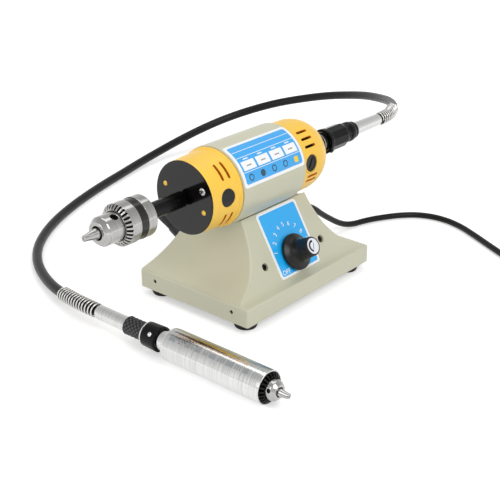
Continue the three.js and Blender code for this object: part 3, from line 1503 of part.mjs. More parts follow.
// The origin is the middle of the underside of the box round everything but the cords and what is on them.
const ON_CORDS = [
  "flex_sheath",
  "upper_spring_guard",
  "lower_spring_guard",
  "power_cord",
  "power_cord_coil",
  "plug_body",
  "strain_relief",
];
root.updateMatrixWorld(true);
const extent = new THREE.Box3();
machine.traverse((item) => {
  if (item.isMesh && !ON_CORDS.includes(item.name)) extent.expandByObject(item, true);
});
const middle = extent.getCenter(new THREE.Vector3());
machine.position.set(-middle.x, -middle.y, -extent.min.z);
console.log(`shift of the pedestal's centre: ${machine.position.toArray().map((v) => v.toFixed(3))}`);

export default root;
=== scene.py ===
"""The looks of a bench buffer: a small motor on a flared pedestal, with a keyed chuck on a spindle rod at
one end and a flexible shaft to a handpiece at the other.

Shapes are worked out in millimetres in the machine's own frame: +X along the motor from the chuck to the
flexible shaft, -Y towards the speed knob, +Z up, from the middle of the pedestal at bench level. They
become metres in the packed model's frame when a mesh is made.
"""

import math
from collections import namedtuple
from types import SimpleNamespace

import bmesh
import bpy
import numpy as np
from bpy.props import FloatProperty, FloatVectorProperty, IntProperty, PointerProperty
from mathutils import Matrix, Vector


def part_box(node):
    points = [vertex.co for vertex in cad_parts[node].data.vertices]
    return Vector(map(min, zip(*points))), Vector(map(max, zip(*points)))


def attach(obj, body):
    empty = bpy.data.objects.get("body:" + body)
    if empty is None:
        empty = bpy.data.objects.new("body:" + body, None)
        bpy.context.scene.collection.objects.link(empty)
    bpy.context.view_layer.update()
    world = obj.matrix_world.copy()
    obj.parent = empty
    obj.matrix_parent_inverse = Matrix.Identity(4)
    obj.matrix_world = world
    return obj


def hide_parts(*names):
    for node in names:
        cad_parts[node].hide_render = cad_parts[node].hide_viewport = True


bl_info = {
    "name": "Bench buffer",
    "version": (1, 0, 0),
    "blender": (4, 5, 0),
    "location": "View3D > Sidebar > Bench buffer",
    "description": "Builds the finish of a bench buffer round its packed frame",
    "category": "Add Mesh",
}

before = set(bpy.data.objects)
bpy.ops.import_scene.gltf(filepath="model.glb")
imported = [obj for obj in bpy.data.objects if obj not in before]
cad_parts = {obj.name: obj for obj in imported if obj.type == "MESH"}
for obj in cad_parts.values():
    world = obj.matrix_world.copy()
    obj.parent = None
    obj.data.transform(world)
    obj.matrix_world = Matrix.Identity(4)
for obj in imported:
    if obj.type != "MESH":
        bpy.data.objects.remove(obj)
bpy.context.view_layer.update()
MM = 0.001
TAU = 2 * math.pi
PEDESTAL_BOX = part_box("base_housing")
SHIFT = (np.array(PEDESTAL_BOX[0]) + np.array(PEDESTAL_BOX[1])) / 2 * [1, 1, 0]
UP = np.array([0.0, 0.0, 1.0])


def span(node):
    """Lowest and highest corner of a node in millimetres, in the machine's own frame."""
    low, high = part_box(node)
    return (np.array(low) - SHIFT) / MM, (np.array(high) - SHIFT) / MM


def linear(code):
    """An sRGB hex colour as the linear RGB values that Blender's sockets take."""
    share = np.array([int(code[i : i + 2], 16) for i in (1, 3, 5)]) / 255
    low = share / 12.92
    high = ((share + 0.055) / 1.055) ** 2.4
    return tuple(np.where(share <= 0.04045, low, high))


def length(millimetres, name, description):
    """A length property whose default is given in millimetres."""
    return FloatProperty(
        name=name, description=description, default=millimetres * MM, unit="LENGTH", precision=5
    )


def colour(code, name, description):
    """A colour property whose default is given as an sRGB hex colour."""
    return FloatVectorProperty(
        name=name, description=description, default=linear(code), subtype="COLOR", min=0, max=1
    )


def tooth_count(count, name, description):
    """A property for the number of a chuck's teeth."""
    return IntProperty(name=name, description=description, default=count, min=12)


class BufferSizes(bpy.types.PropertyGroup):
    """Sizes of what the packed solids leave plain."""

    skirt_edge: length(1.8, "Skirt edge", "Rounding of the pedestal skirt's upper edge")
    skirt_corner: length(2, "Skirt corner", "Rounding of the skirt's upright corners")
    arris: length(1.6, "Arris", "Rounding where the sloping panel meets a flank")
    panel_fillet: length(5, "Panel fillet", "Hollow fillet between the ledge and the panel")
    wall: length(3.5, "Wall", "Wall of the pedestal")
    motor_radius: length(37.5, "Motor radius", "Outer radius of the motor's housing")
    motor_turn: FloatProperty(
        name="Motor turn",
        description="Angle by which the motor is turned in its saddle",
        default=math.radians(5),
        subtype="ANGLE",
    )
    front_cap_radius: length(33.6, "Front cap rim", "Outer radius of the front cap at its rim")
    front_cap_root: length(35.4, "Front cap root", "Outer radius of the front cap at its flange")
    flange_radius: length(36.7, "Flange radius", "Outer radius of the front cap's flange")
    plate_radius: length(32.8, "Front disc", "Radius of the glossy front disc")
    rear_cap_radius: length(35.2, "Rear cap radius", "Outer radius of the rear cap")
    rear_cap_end: length(11, "Rear cap end", "Radius of the rear cap's flat end")
    rear_cap_round: length(30, "Rear cap round", "Length of the rear cap's dome along the motor")
    plug_radius: length(8, "Plug radius", "Radius of the round plugs in the caps")
    slot_width: length(2.6, "Slot width", "Width of the air slots")
    label_width: length(58, "Panel label width", "Width of the printed panel label")
    knob_radius: length(17.6, "Knob skirt", "Radius of the speed knob's skirt")
    knob_cap_radius: length(9.3, "Knob cap", "Radius of the speed knob's cap")
    rod_radius: length(7.3, "Rod radius", "Radius of the spindle rod")
    sheath_diameter: length(10, "Sheath diameter", "Outer diameter of the flexible shaft's hose")
    sheath_length: length(1023, "Sheath length", "Length of the flexible shaft's hose")
    cord_diameter: length(6.4, "Cord diameter", "Outer diameter of the power cord")
    cord_length: length(1514, "Cord length", "Length of the power cord with its coil")
    handpiece_radius: length(14.7, "Handpiece radius", "Outer radius of the handpiece")
    chuck_teeth: tooth_count(30, "Chuck teeth", "Bevel teeth of the main chuck")
    ring_teeth: tooth_count(22, "Ring teeth", "Bevel teeth of the handpiece chuck")


class BufferColours(bpy.types.PropertyGroup):
    """Colours of the finishes."""

    enamel: colour("#cbcab3", "Enamel", "Cream enamel of the pedestal and the motor")
    caps: colour("#fbcb47", "Caps", "Moulded caps of the motor")
    black: colour("#0b0b0d", "Black plastic", "Plugs, knob and couplings")
    gloss: colour("#0d0b0b", "Front disc", "Glossy front disc")
    rubber: colour("#0c0c0c", "Rubber", "Feet and power cord")
    hose: colour("#0d0d0e", "Hose", "Hose of the flexible shaft")
    blackened: colour("#2a2a2b", "Blackened steel", "Spindle rod and dark rings")
    steel: colour("#b3b2b0", "Steel", "Chucks, shafts and screws")
    aluminium: colour("#d9d9d8", "Aluminium", "Handpiece and ferrules")
    label: colour("#1eb2fc", "Label", "Printed field of the speed panel")
    motor_label: colour("#35aaf0", "Motor label", "Printed field of the motor's label")
    print_white: colour("#f6f7f8", "White print", "Borders, boxes and marks of the labels")


# The knob's place up the sloping panel from its foot, in millimetres
KNOB_RISE = 20.2

# Local frames: axes in rows are along, side and up, and a turned piece runs along the first
Seat = namedtuple("Seat", "origin axes")


def seat(origin, along, up):
    """A right-handed local frame from its origin and two square directions."""
    along, up = np.array(along, float), np.array(up, float)
    return Seat(np.array(origin, float), np.array([along, np.cross(up, along), up]))


def placed(points, at):
    """Points of a local frame in the machine's frame."""
    return points @ at.axes + at.origin


def moved(at, along=0.0, side=0.0, up=0.0):
    """The same local frame with its origin moved along its own axes."""
    return Seat(placed(np.array([along, side, up]), at), at.axes)


def outline(*corners, steps=5):
    """A line through corners (a, b) or (a, b, setback). A corner with a setback becomes a quadratic curve
    between the two points that lie that far from it: (1-t)^2 p + 2t(1-t) c + t^2 q."""
    points = np.array([corner[:2] for corner in corners], float)
    share = np.linspace(0, 1, steps)[:, None]
    line = []
    for i, corner in enumerate(corners):
        if len(corner) < 3 or i in (0, len(corners) - 1):
            line.append(points[i : i + 1])
            continue
        feet = []
        for other in (points[i - 1], points[i + 1]):
            reach = np.linalg.norm(other - points[i])
            feet.append(points[i] + (other - points[i]) * min(corner[2], reach * 0.49) / reach)
        curve = (1 - share) ** 2 * feet[0] + 2 * share * (1 - share) * points[i] + share**2 * feet[1]
        line.append(curve)
    return np.concatenate(line)


def closed(*corners, bore=0, steps=5):
    """The outline of a turned piece through its outer corners, from the bore's radius and back to it. A
    ring's outline ends where it started."""
    start, stop = (corners[0][0], bore), (corners[-1][0], bore)
    again = [start] if bore else []
    return outline(start, *corners, stop, *again, steps=steps)


def spread(line, step):
    """The same line with no stretch longer than step: each corner is kept."""
    pieces = [line[:1]]
    for a, b in zip(line[:-1], line[1:]):
        count = max(1, math.ceil(np.linalg.norm(b - a) / step))
        share = np.arange(1, count + 1)[:, None] / count
        pieces.append(a + (b - a) * share)
    return np.concatenate(pieces)


def turned(profile, at, turns=96, wave=None):
    """A profile of (x, r) carried round the frame's first axis: (x, -r cos t, r sin t), with t from the
    near side upwards. wave changes (x, r) by angle."""
    x, r = profile[:, :1], profile[:, 1:2]
    angle = np.linspace(0, TAU, turns, endpoint=False)[None, :]
    if wave:
        x, r = wave(x, r, angle)
    x, r, angle = np.broadcast_arrays(x, r, angle)
    return placed(np.stack([x, -r * np.cos(angle), r * np.sin(angle)], -1), at)


def ends(node, at):
    """Where a node starts and stops along a frame's first axis."""
    return sorted(float(at.axes[0] @ (corner - at.origin)) for corner in span(node))


def directions(path):
    """Unit directions along a path, by central differences."""
    step = np.gradient(path, axis=0)
    return step / np.linalg.norm(step, axis=1, keepdims=True)


def swept(path, radius, sides=24, normal=None):
    """A tube along a path: p + r (cos a n + sin a (t x n)), where n is the given normal or the level
    direction square to the path. Both ends close on the path."""
    along = directions(path)
    across = np.cross(along, UP) if normal is None else normal
    across = across - along * np.sum(across * along, axis=1, keepdims=True)
    across /= np.linalg.norm(across, axis=1, keepdims=True)
    other = np.cross(along, across)
    rows = np.r_[0, np.arange(len(path)), len(path) - 1]
    size = np.broadcast_to(radius, len(path))[rows].copy()
    size[[0, -1]] = 0
    angle = np.linspace(0, TAU, sides, endpoint=False)[None, :, None]
    ring = np.cos(angle) * across[rows][:, None] + np.sin(angle) * other[rows][:, None]
    return path[rows][:, None] + size[:, None, None] * ring


def smooth_path(route, spacing):
    """A centripetal Catmull-Rom curve through the route's points, at even steps of about the given spacing.
    Each span is the cubic whose end slopes come from the square roots of the spans on both sides."""
    points = np.array(route, float)
    points = np.concatenate([[2 * points[0] - points[1]], points, [2 * points[-1] - points[-2]]])
    knots = np.linalg.norm(np.diff(points, axis=0), axis=1)[:, None] ** 0.5
    before, here, after = knots[:-2], knots[1:-1], knots[2:]
    p0, p1, p2, p3 = points[:-3], points[1:-2], points[2:-1], points[3:]
    start = ((p1 - p0) / before - (p2 - p0) / (before + here) + (p2 - p1) / here) * here
    end = ((p2 - p1) / here - (p3 - p1) / (here + after) + (p3 - p2) / after) * here
    t = np.linspace(0, 1, 24, endpoint=False)[None, :, None]
    p1, p2, start, end = p1[:, None], p2[:, None], start[:, None], end[:, None]
    curve = p1 + start * t + (3 * (p2 - p1) - 2 * start - end) * t**2 + (2 * (p1 - p2) + start + end) * t**3
    curve = np.concatenate([curve.reshape(-1, 3), points[-2:-1]])
    along = np.r_[0, np.cumsum(np.linalg.norm(np.diff(curve, axis=0), axis=1))]
    even = np.linspace(0, along[-1], round(along[-1] / spacing) + 1)
    return np.stack([np.interp(even, along, curve[:, k]) for k in range(3)], 1)


def rounded_rectangle(half_width, half_height, corner, per_side=8, per_corner=6):
    """Points round a rectangle with round corners, from the middle of the right side, anticlockwise: four
    quarter circles joined by evenly divided sides."""
    quarter = np.linspace(0, math.pi / 2, per_corner)
    points = []
    for k, (sx, sy) in enumerate(((1, 1), (-1, 1), (-1, -1), (1, -1))):
        turn = quarter + k * math.pi / 2
        centre = np.array([sx * (half_width - corner), sy * (half_height - corner)])
        points.append(centre + corner * np.stack([np.cos(turn), np.sin(turn)], 1))
    ring = np.concatenate(points)
    divided = []
    for a, b in zip(ring, np.roll(ring, -1, axis=0)):
        longest = np.linalg.norm(b - a) > 1.5 * corner * math.pi / 2 / (per_corner - 1) + 1e-6
        count = per_side if longest else 1
        divided.append(a + (b - a) * np.arange(count)[:, None] / count)
    return np.concatenate(divided)


def circle(radius, count=36):
    """Points round a circle."""
    angle = np.linspace(0, TAU, count, endpoint=False)
    return radius * np.stack([np.cos(angle), np.sin(angle)], 1)


def rotated(points, angle):
    """Flat points turned anticlockwise about zero."""
    cosine, sine = math.cos(angle), math.sin(angle)
    return points @ np.array([[cosine, sine], [-sine, cosine]])


def plate(edge, low, high, surface, centre=(0, 0), turn=0.0, rings=6):
    """A thin closed plate with the given edge: the edge drawn in to its middle in rings, at two heights
    over a surface that turns (u, v, height) into a place."""
    share = np.linspace(0, 1, rings)
    share = np.r_[share, share[::-1]][:, None, None]
    height = np.r_[np.full(rings, low), np.full(rings, high)][:, None]
    flat = np.array(centre) + share * rotated(edge, turn)[None]
    return surface(flat[..., 0], flat[..., 1], np.broadcast_to(height, flat.shape[:2]))


def mesh_of(name, surfaces):
    """One mesh from closed grids, given as (grid, finish number) or (grid, finish number, recess), whose
    columns close into rings. Doubles are merged, so rings drawn in to a point become poles, and faces point
    outwards."""
    points, faces, finish, recess = [], [], [], []
    first = 0
    for surface in surfaces:
        grid = surface[0]
        rows, columns = grid.shape[:2]
        index = first + np.arange(rows * columns).reshape(rows, columns)
        beside = np.roll(index, -1, axis=1)
        quads = np.stack([index[:-1], beside[:-1], beside[1:], index[1:]], -1).reshape(-1, 4)
        points.append(grid.reshape(-1, 3))
        faces.append(quads)
        finish.append(np.full(len(quads), surface[1]))
        depth = surface[2] if len(surface) > 2 else 0.0
        recess.append(np.broadcast_to(depth, grid.shape[:2]).ravel())
        first += rows * columns
    points = np.concatenate(points) * MM + SHIFT
    faces = np.concatenate(faces)
    mesh = bpy.data.meshes.new(name)
    mesh.vertices.add(len(points))
    mesh.vertices.foreach_set("co", points.astype(np.float32).ravel())
    mesh.loops.add(faces.size)
    mesh.loops.foreach_set("vertex_index", faces.astype(np.int32).ravel())
    mesh.polygons.add(len(faces))
    mesh.polygons.foreach_set("loop_start", np.arange(0, faces.size, 4, dtype=np.int32))
    mesh.polygons.foreach_set("material_index", np.concatenate(finish).astype(np.int32))
    attribute = mesh.attributes.new("recess", "FLOAT", "POINT")
    attribute.data.foreach_set("value", np.concatenate(recess).astype(np.float32))
    mesh.update(calc_edges=True)
    shape = bmesh.new()
    shape.from_mesh(mesh)
    bmesh.ops.remove_doubles(shape, verts=shape.verts, dist=2e-6)
    bmesh.ops.recalc_face_normals(shape, faces=shape.faces)
    shape.to_mesh(mesh)
    shape.free()
    return mesh


def object_of(name, mesh):
    """A linked object with the given mesh, at the origin."""
    piece = bpy.data.objects.new(name, mesh)
    bpy.context.scene.collection.objects.link(piece)
    return piece


def carve(piece, cutters, finishes):
    """Cuts closed grids, given as (grid, finish number of the cut walls), out of a piece."""
    tool = object_of("cutter", mesh_of("cutter", cutters))
    for material in finishes:
        piece.data.materials.append(material)
        tool.data.materials.append(material)
    modifier = piece.modifiers.new("cut", "BOOLEAN")
    modifier.object = tool
    modifier.operation = "DIFFERENCE"
    modifier.solver = "EXACT"
    graph = bpy.context.evaluated_depsgraph_get()
    cut = bpy.data.meshes.new_from_object(piece.evaluated_get(graph))
    piece.modifiers.clear()
    if len(cut.polygons) < len(piece.data.polygons) // 4:
        raise RuntimeError(f"cutting {piece.name} left too little of it")
    piece.data = cut
    bpy.data.objects.remove(tool)


def dress(piece, finishes, body, stands_for=(), slot=None, crease=32):
    """Gives a piece its finishes, its shading and its body."""
    mesh = piece.data
    for number, material in enumerate(finishes):
        if number < len(mesh.materials):
            mesh.materials[number] = material
        else:
            mesh.materials.append(material)
    mesh.shade_smooth()
    mesh.set_sharp_from_angle(angle=math.radians(crease))
    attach(piece, body)
    if stands_for:
        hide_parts(*stands_for)
    return piece


def make(name, surfaces, finishes, body="root", stands_for=(), slot=None, cutters=(), crease=32):
    """A finished piece from closed grids and the grids cut out of them."""
    piece = object_of(name, mesh_of(name, surfaces))
    if cutters:
        carve(piece, [cutter if isinstance(cutter, tuple) else (cutter, 0) for cutter in cutters], finishes)
    return dress(piece, finishes, body, stands_for, slot, crease)


def make_turned(name, line, at, turns, finishes, node=None, slot=None, step=0, wave=None, **more):
    """A finished piece turned from one outline, which is divided so that no stretch is longer than step."""
    line = spread(line, step) if step else line
    surfaces = [(turned(line, at, turns, wave), 0)]
    return make(name, surfaces, finishes, stands_for=[node] if node else (), slot=slot, **more)


def add_node(tree, kind, inputs=None, **settings):
    """Adds one node, sets its properties, and links or sets its inputs by name or number."""
    node = tree.nodes.new(kind)
    for key, value in settings.items():
        setattr(node, key, value)
    for key, value in (inputs or {}).items():
        if isinstance(value, bpy.types.NodeSocket):
            tree.links.new(value, node.inputs[key])
        else:
            node.inputs[key].default_value = value
    return node


def finish_of(name, **constants):
    """A new material with one shader, whose constant inputs are set on its own sockets."""
    material = bpy.data.materials.new(name)
    material.use_nodes = True
    tree = material.node_tree
    tree.nodes.clear()
    shader = add_node(tree, "ShaderNodeBsdfPrincipled", constants)
    add_node(tree, "ShaderNodeOutputMaterial", {"Surface": shader.outputs[0]})
    place = add_node(tree, "ShaderNodeTexCoord").outputs["Object"]
    return material, tree, shader, place


def with_alpha(rgb):
    """A colour with full opacity, as colour sockets take it."""
    return (*rgb, 1.0)


def tinted(rgb, gain):
    """A colour made lighter or darker."""
    return with_alpha([min(1.0, value * gain) for value in rgb])


def per_metre(millimetres):
    """The texture scale that gives a pattern of this real size."""
    return 1 / (millimetres * MM)


def mottled(tree, place, shader, rgb, size, drift, roughness, rough_drift):
    """Colour and roughness that drift a little over patches of a real size, as on moulded parts."""
    noise = add_node(tree, "ShaderNodeTexNoise", {"Vector": place, "Scale": per_metre(size), "Detail": 4.0})
    patches = noise.outputs[0]
    tones = {0: patches, 6: tinted(rgb, 1 - drift), 7: tinted(rgb, 1 + drift)}
    mix = add_node(tree, "ShaderNodeMix", tones, data_type="RGBA")
    limits = {"Value": patches, "To Min": roughness - rough_drift, "To Max": roughness + rough_drift}
    rough = add_node(tree, "ShaderNodeMapRange", limits)
    tree.links.new(mix.outputs[2], shader.inputs["Base Color"])
    tree.links.new(rough.outputs[0], shader.inputs["Roughness"])


def grained(tree, place, shader, size, depth, strength):
    """A bump of the given grain size and depth, both in millimetres."""
    noise = add_node(tree, "ShaderNodeTexNoise", {"Vector": place, "Scale": per_metre(size), "Detail": 2.0})
    grain = {"Height": noise.outputs[0], "Distance": depth * MM, "Strength": strength}
    tree.links.new(add_node(tree, "ShaderNodeBump", grain).outputs[0], shader.inputs["Normal"])


def sprayed_enamel(rgb):
    """Semi-gloss stoving enamel on a casting: a soft sheen with a faint orange peel of about 1.5 mm."""
    material, tree, shader, place = finish_of("sprayed_enamel", **{"IOR": 1.5, "Coat Weight": 0.15})
    mottled(tree, place, shader, rgb, 45, 0.03, 0.42, 0.06)
    grained(tree, place, shader, 1.5, 0.05, 0.5)
    return material


def moulded_abs(name, rgb):
    """Injection-moulded ABS: a smooth, slightly waxy gloss with a very fine spark-eroded grain."""
    material, tree, shader, place = finish_of(name, IOR=1.54)
    mottled(tree, place, shader, rgb, 30, 0.03, 0.36, 0.05)
    grained(tree, place, shader, 0.7, 0.02, 0.5)
    return material


def moulded_nylon(name, rgb, specular, roughness):
    """Glass-filled nylon: a black with a fine grain, a little lighter where it is handled."""
    material, tree, shader, place = finish_of(name, **{"IOR": 1.53, "Specular IOR Level": specular})
    mottled(tree, place, shader, rgb, 12, 0.18, roughness, 0.05)
    grained(tree, place, shader, 0.5, 0.03, 0.6)
    return material


def polished_acrylic(rgb):
    """Polished black acrylic sheet: an almost mirror-flat gloss with faint wiping marks."""
    material, tree, shader, place = finish_of("polished_acrylic", **{"IOR": 1.49, "Specular IOR Level": 0.4})
    mottled(tree, place, shader, rgb, 18, 0.12, 0.09, 0.03)
    return material


def vulcanised_rubber(name, rgb, roughness):
    """Vulcanised rubber: matt, with a fine skin texture and a little bloom."""
    material, tree, shader, place = finish_of(name, **{"IOR": 1.52, "Specular IOR Level": 0.22})
    mottled(tree, place, shader, rgb, 9, 0.16, roughness, 0.07)
    grained(tree, place, shader, 0.6, 0.03, 0.5)
    return material


def turned_metal(name, rgb, roughness, axis, line=0.5, depth=0.012):
    """Metal turned on a lathe: rings of tool marks square to the axis, so highlights stretch across them.
    The recess attribute darkens cut gaps, which hold oil."""
    material, tree, shader, place = finish_of(name, Metallic=1.0)
    stretch = [per_metre(40.0)] * 3
    stretch[axis] = per_metre(line)
    rings = add_node(tree, "ShaderNodeMapping", {"Vector": place, "Scale": stretch})
    noise = add_node(tree, "ShaderNodeTexNoise", {"Vector": rings.outputs[0], "Scale": 1.0, "Detail": 3.0})
    cloud = add_node(tree, "ShaderNodeTexNoise", {"Vector": place, "Scale": per_metre(7), "Detail": 3.0})
    marks, smudges = noise.outputs[0], cloud.outputs[0]
    limits = {"Value": marks, "To Min": roughness - 0.09, "To Max": roughness + 0.09}
    rough = add_node(tree, "ShaderNodeMapRange", limits)
    smudge = add_node(tree, "ShaderNodeMapRange", {"Value": smudges, "To Min": -0.05, "To Max": 0.06})
    total = add_node(tree, "ShaderNodeMath", {0: rough.outputs[0], 1: smudge.outputs[0]}, operation="ADD")
    tones = {0: marks, 6: tinted(rgb, 0.68), 7: tinted(rgb, 1.18)}
    tone = add_node(tree, "ShaderNodeMix", tones, data_type="RGBA")
    # Painted shade: recessed points are mixed towards a near-black copy of the metal's colour
    gap = add_node(tree, "ShaderNodeAttribute", attribute_name="recess")
    tones = {0: gap.outputs["Fac"], 6: tone.outputs[2], 7: tinted(rgb, 0.035)}
    painted_recess_shade = add_node(tree, "ShaderNodeMix", tones, data_type="RGBA")
    bump = add_node(tree, "ShaderNodeBump", {"Height": marks, "Distance": depth * MM, "Strength": 0.6})
    tree.links.new(painted_recess_shade.outputs[2], shader.inputs["Base Color"])
    tree.links.new(total.outputs[0], shader.inputs["Roughness"])
    tree.links.new(bump.outputs[0], shader.inputs["Normal"])
    return material


def printed_foil(name, rgb, roughness=0.3):
    """Printed polyester foil under a clear film: an even, soft gloss with a little print mottle."""
    film = {"IOR": 1.5, "Coat Weight": 0.3, "Coat Roughness": 0.15}
    material, tree, shader, place = finish_of(name, **film)
    mottled(tree, place, shader, rgb, 6, 0.02, roughness, 0.05)
    return material


def wound_copper(rgb):
    """Enamelled copper wire in tight turns, drawn at 0.9 mm, coarser than the real wire so that it shows."""
    material, tree, shader, place = finish_of("wound_copper", Metallic=1.0, Roughness=0.35)
    turns = {"Vector": place, "Scale": per_metre(0.9 * TAU)}
    wave = add_node(tree, "ShaderNodeTexWave", turns, bands_direction="Y")
    # Painted shade: half the copper's colour in the creases between turns
    tones = {0: wave.outputs[1], 6: tinted(rgb, 0.5), 7: with_alpha(rgb)}
    mix = add_node(tree, "ShaderNodeMix", tones, data_type="RGBA")
    tree.links.new(mix.outputs[2], shader.inputs["Base Color"])
    return material


def etched_board(rgb):
    """Glass-epoxy circuit board under green solder resist, with lighter tracks about 1.3 mm apart."""
    material, tree, shader, place = finish_of("etched_board", IOR=1.55, Roughness=0.35)
    pattern = {"Vector": place, "Scale": per_metre(8)}
    tones = {"Color1": tinted(rgb, 1.0), "Color2": tinted(rgb, 1.25), "Mortar": tinted(rgb, 2.2)}
    tracks = add_node(tree, "ShaderNodeTexBrick", {**pattern, **tones})
    tree.links.new(tracks.outputs[0], shader.inputs["Base Color"])
    return material


def all_finishes(colours):
    """Every finish by name, from the colours that a user can change."""
    steel = colours.steel
    return SimpleNamespace(
        enamel=sprayed_enamel(colours.enamel),
        caps=moulded_abs("moulded_abs", colours.caps),
        # The slots' walls: the caps' yellow as a darker orange, painted shade
        cut_caps=moulded_abs("shaded_slot_walls", linear("#e8801a")),
        nylon=moulded_nylon("moulded_nylon", colours.black, 0.3, 0.31),
        polished=moulded_nylon("polished_nylon", colours.black, 0.14, 0.18),
        knurled=turned_metal("knurled_steel", linear("#5a5a5c"), 0.42, 1),
        acrylic=polished_acrylic(colours.gloss),
        rubber=vulcanised_rubber("vulcanised_rubber", colours.rubber, 0.62),
        cord=vulcanised_rubber("extruded_cord_jacket", colours.rubber, 0.36),
        hose=vulcanised_rubber("extruded_hose_jacket", colours.hose, 0.34),
        blackened=turned_metal("blackened_steel", colours.blackened, 0.27, 0),
        blackened_tool=turned_metal("blackened_steel_ring", colours.blackened, 0.34, 1),
        steel=turned_metal("turned_steel", steel, 0.18, 0),
        steel_tool=turned_metal("turned_steel_spindle", steel, 0.2, 1),
        wire=turned_metal("drawn_spring_wire", linear("#d4d3d0"), 0.2, 2),
        aluminium=turned_metal("turned_aluminium", colours.aluminium, 0.25, 0, line=0.7),
        aluminium_tool=turned_metal("polished_aluminium", colours.aluminium, 0.16, 1, line=1.2, depth=0.006),
        foil_white=printed_foil("printed_foil_white", colours.print_white),
        foil_blue=printed_foil("printed_foil_blue", colours.label),
        foil_sky=printed_foil("printed_foil_sky_blue", colours.motor_label),
        foil_ink=printed_foil("printed_foil_ink", linear("#12455c")),
        foil_line=printed_foil("printed_foil_pale_line", linear("#9ad4f7")),
        foil_yellow=printed_foil("printed_foil_yellow", linear("#f3d21c")),
        foil_grey=printed_foil("etched_foil_grey", linear("#8e9193"), 0.25),
        foil_orange=printed_foil("etched_foil_orange", linear("#c9965a"), 0.25),
        iron=turned_metal("stamped_iron", linear("#55565a"), 0.45, 0, line=0.6),
        copper=wound_copper(linear("#b8703c")),
        carbon=vulcanised_rubber("pressed_carbon", linear("#2a2a2c"), 0.7),
        board=etched_board(linear("#1f6b3c")),
        insert=printed_foil("printed_knob_insert", linear("#e9ebf4"), 0.25),
    )


def slot_cutter(half_length, half_width, centre, surface, low, high, turn=0.0):
    """A round-ended slot as a closed plate that runs through a wall."""
    edge = rounded_rectangle(half_length, half_width, half_width * 0.98)
    return plate(edge, low, high, surface, centre, turn, rings=2)


def make_cords(sizes, finish):
    """The flexible shaft's hose with its two guards, and the power cord with its relief, plug and tie."""
    sheath = smooth_path(SHEATH_ROUTE, 3.0)
    radius = sizes.sheath_diameter / 2
    ribs = radius * (1 + 0.004 * np.sin(np.arange(len(sheath)) * 1.7))
    hose = make(
        "flexible_hose", [(swept(sheath, ribs, 32), 0)], [finish.hose], stands_for=["flex_sheath"],
        slot="sheath_rubber",
    )
    guards = [
        make_guard("upper_spring_guard", smooth_path(SHEATH_ROUTE, 0.5), 3.7, finish),
        make_guard("lower_spring_guard", smooth_path(SHEATH_ROUTE[::-1], 0.5), 4.1, finish),
    ]
    coil = coil_route(sizes.cord_diameter)
    cord_path = smooth_path(CORD_ROUTE + coil.tolist(), 2.4)
    cord = make(
        "power_cord_jacket",
        [(swept(cord_path, sizes.cord_diameter / 2, 20), 0)],
        [finish.cord],
        stands_for=["power_cord", "power_cord_coil"],
        slot="black_rubber",
    )
    relief = make_relief(finish)
    plug = make_plug(cord_path, finish)
    tie = make_tie(sizes.cord_diameter, finish)


# Routes in millimetres, chosen one by one: the hose from the motor's ferrule to the handpiece's, and the
# power cord from its strain relief to its coil
SHEATH_ROUTE = [
    [200.3, 0, 116], [208, 0, 116], [223, 2.2, 115.6], [237, 7.5, 114.6], [253, 15.8, 112.8],
    [270, 25.5, 110.5], [299, 50, 105], [323, 79, 98], [342, 111, 90.9], [355, 145, 82.6], [360, 182, 73.8],
    [357, 218, 64.2], [344, 252.5, 54.4], [323, 281.2, 44], [294, 303, 33.8], [260, 316.5, 24.4],
    [223.5, 322.5, 16.6], [185.5, 323, 10.6], [148.5, 318.5, 7.2], [111.5, 310, 5.8], [75, 300.5, 5.3],
    [38.5, 289, 5.2], [2.5, 275.5, 5.2], [-32.5, 259.5, 5.2], [-65.2, 240, 5.2], [-94, 217, 5.2],
    [-118, 189, 5.6], [-137, 156, 6.8], [-151, 121, 9.2], [-159.5, 86, 12.7], [-162.7, 62, 14.5],
    [-163, 55, 14.7], [-163, 47.3, 14.7],
]
CORD_ROUTE = [
    [82.5, 12, 50.9], [92, 12, 47], [105, 11, 40], [119.2, 11.2, 29.6], [134, 10.8, 19.6],
    [149.2, 9.2, 10.2], [159.8, 6.9, 5.7], [170.9, 3.9, 3.8], [182, 1, 3.5], [195, -4, 3.5],
    [210, -12, 3.5], [224, -21.5, 3.5],
    [236, -34, 3.5], [243, -50, 3.5], [244, -68, 3.5], [239, -88, 3.5], [229, -109, 3.5], [217, -131, 3.5],
    [204.5, -154, 3.5], [193.5, -176, 3.5], [186, -196, 3.5], [182.5, -214, 3.5], [182, -221, 3.5],
]
# The coil of the power cord: pitch of its turns, inner radius, turns in a layer and straight tail. Then
# the plug's height and the gaps between pieces that lie on each other. All but the turns in millimetres
COIL_PITCH = 7
COIL_INNER_RADIUS = 27
COIL_LAYER_TURNS = 2.25
COIL_TAIL = 60
PLUG_HEIGHT = 14
GAP = 0.3
SADDLE_GAP = 0.7


def coil_frame(diameter):
    """Where the coil starts: its entry point, its centre, its outer radius and the entry's angle."""
    end, before = np.array(CORD_ROUTE[-1]), np.array(CORD_ROUTE[-2])
    outer = COIL_INNER_RADIUS + COIL_LAYER_TURNS * COIL_PITCH
    heading = (end - before) / np.linalg.norm(end - before)
    entry = end + heading * (GAP + diameter)
    centre = entry + outer * np.array([-heading[1], heading[0], 0])
    first = math.atan2(entry[1] - centre[1], entry[0] - centre[0])
    return entry, centre, outer, first


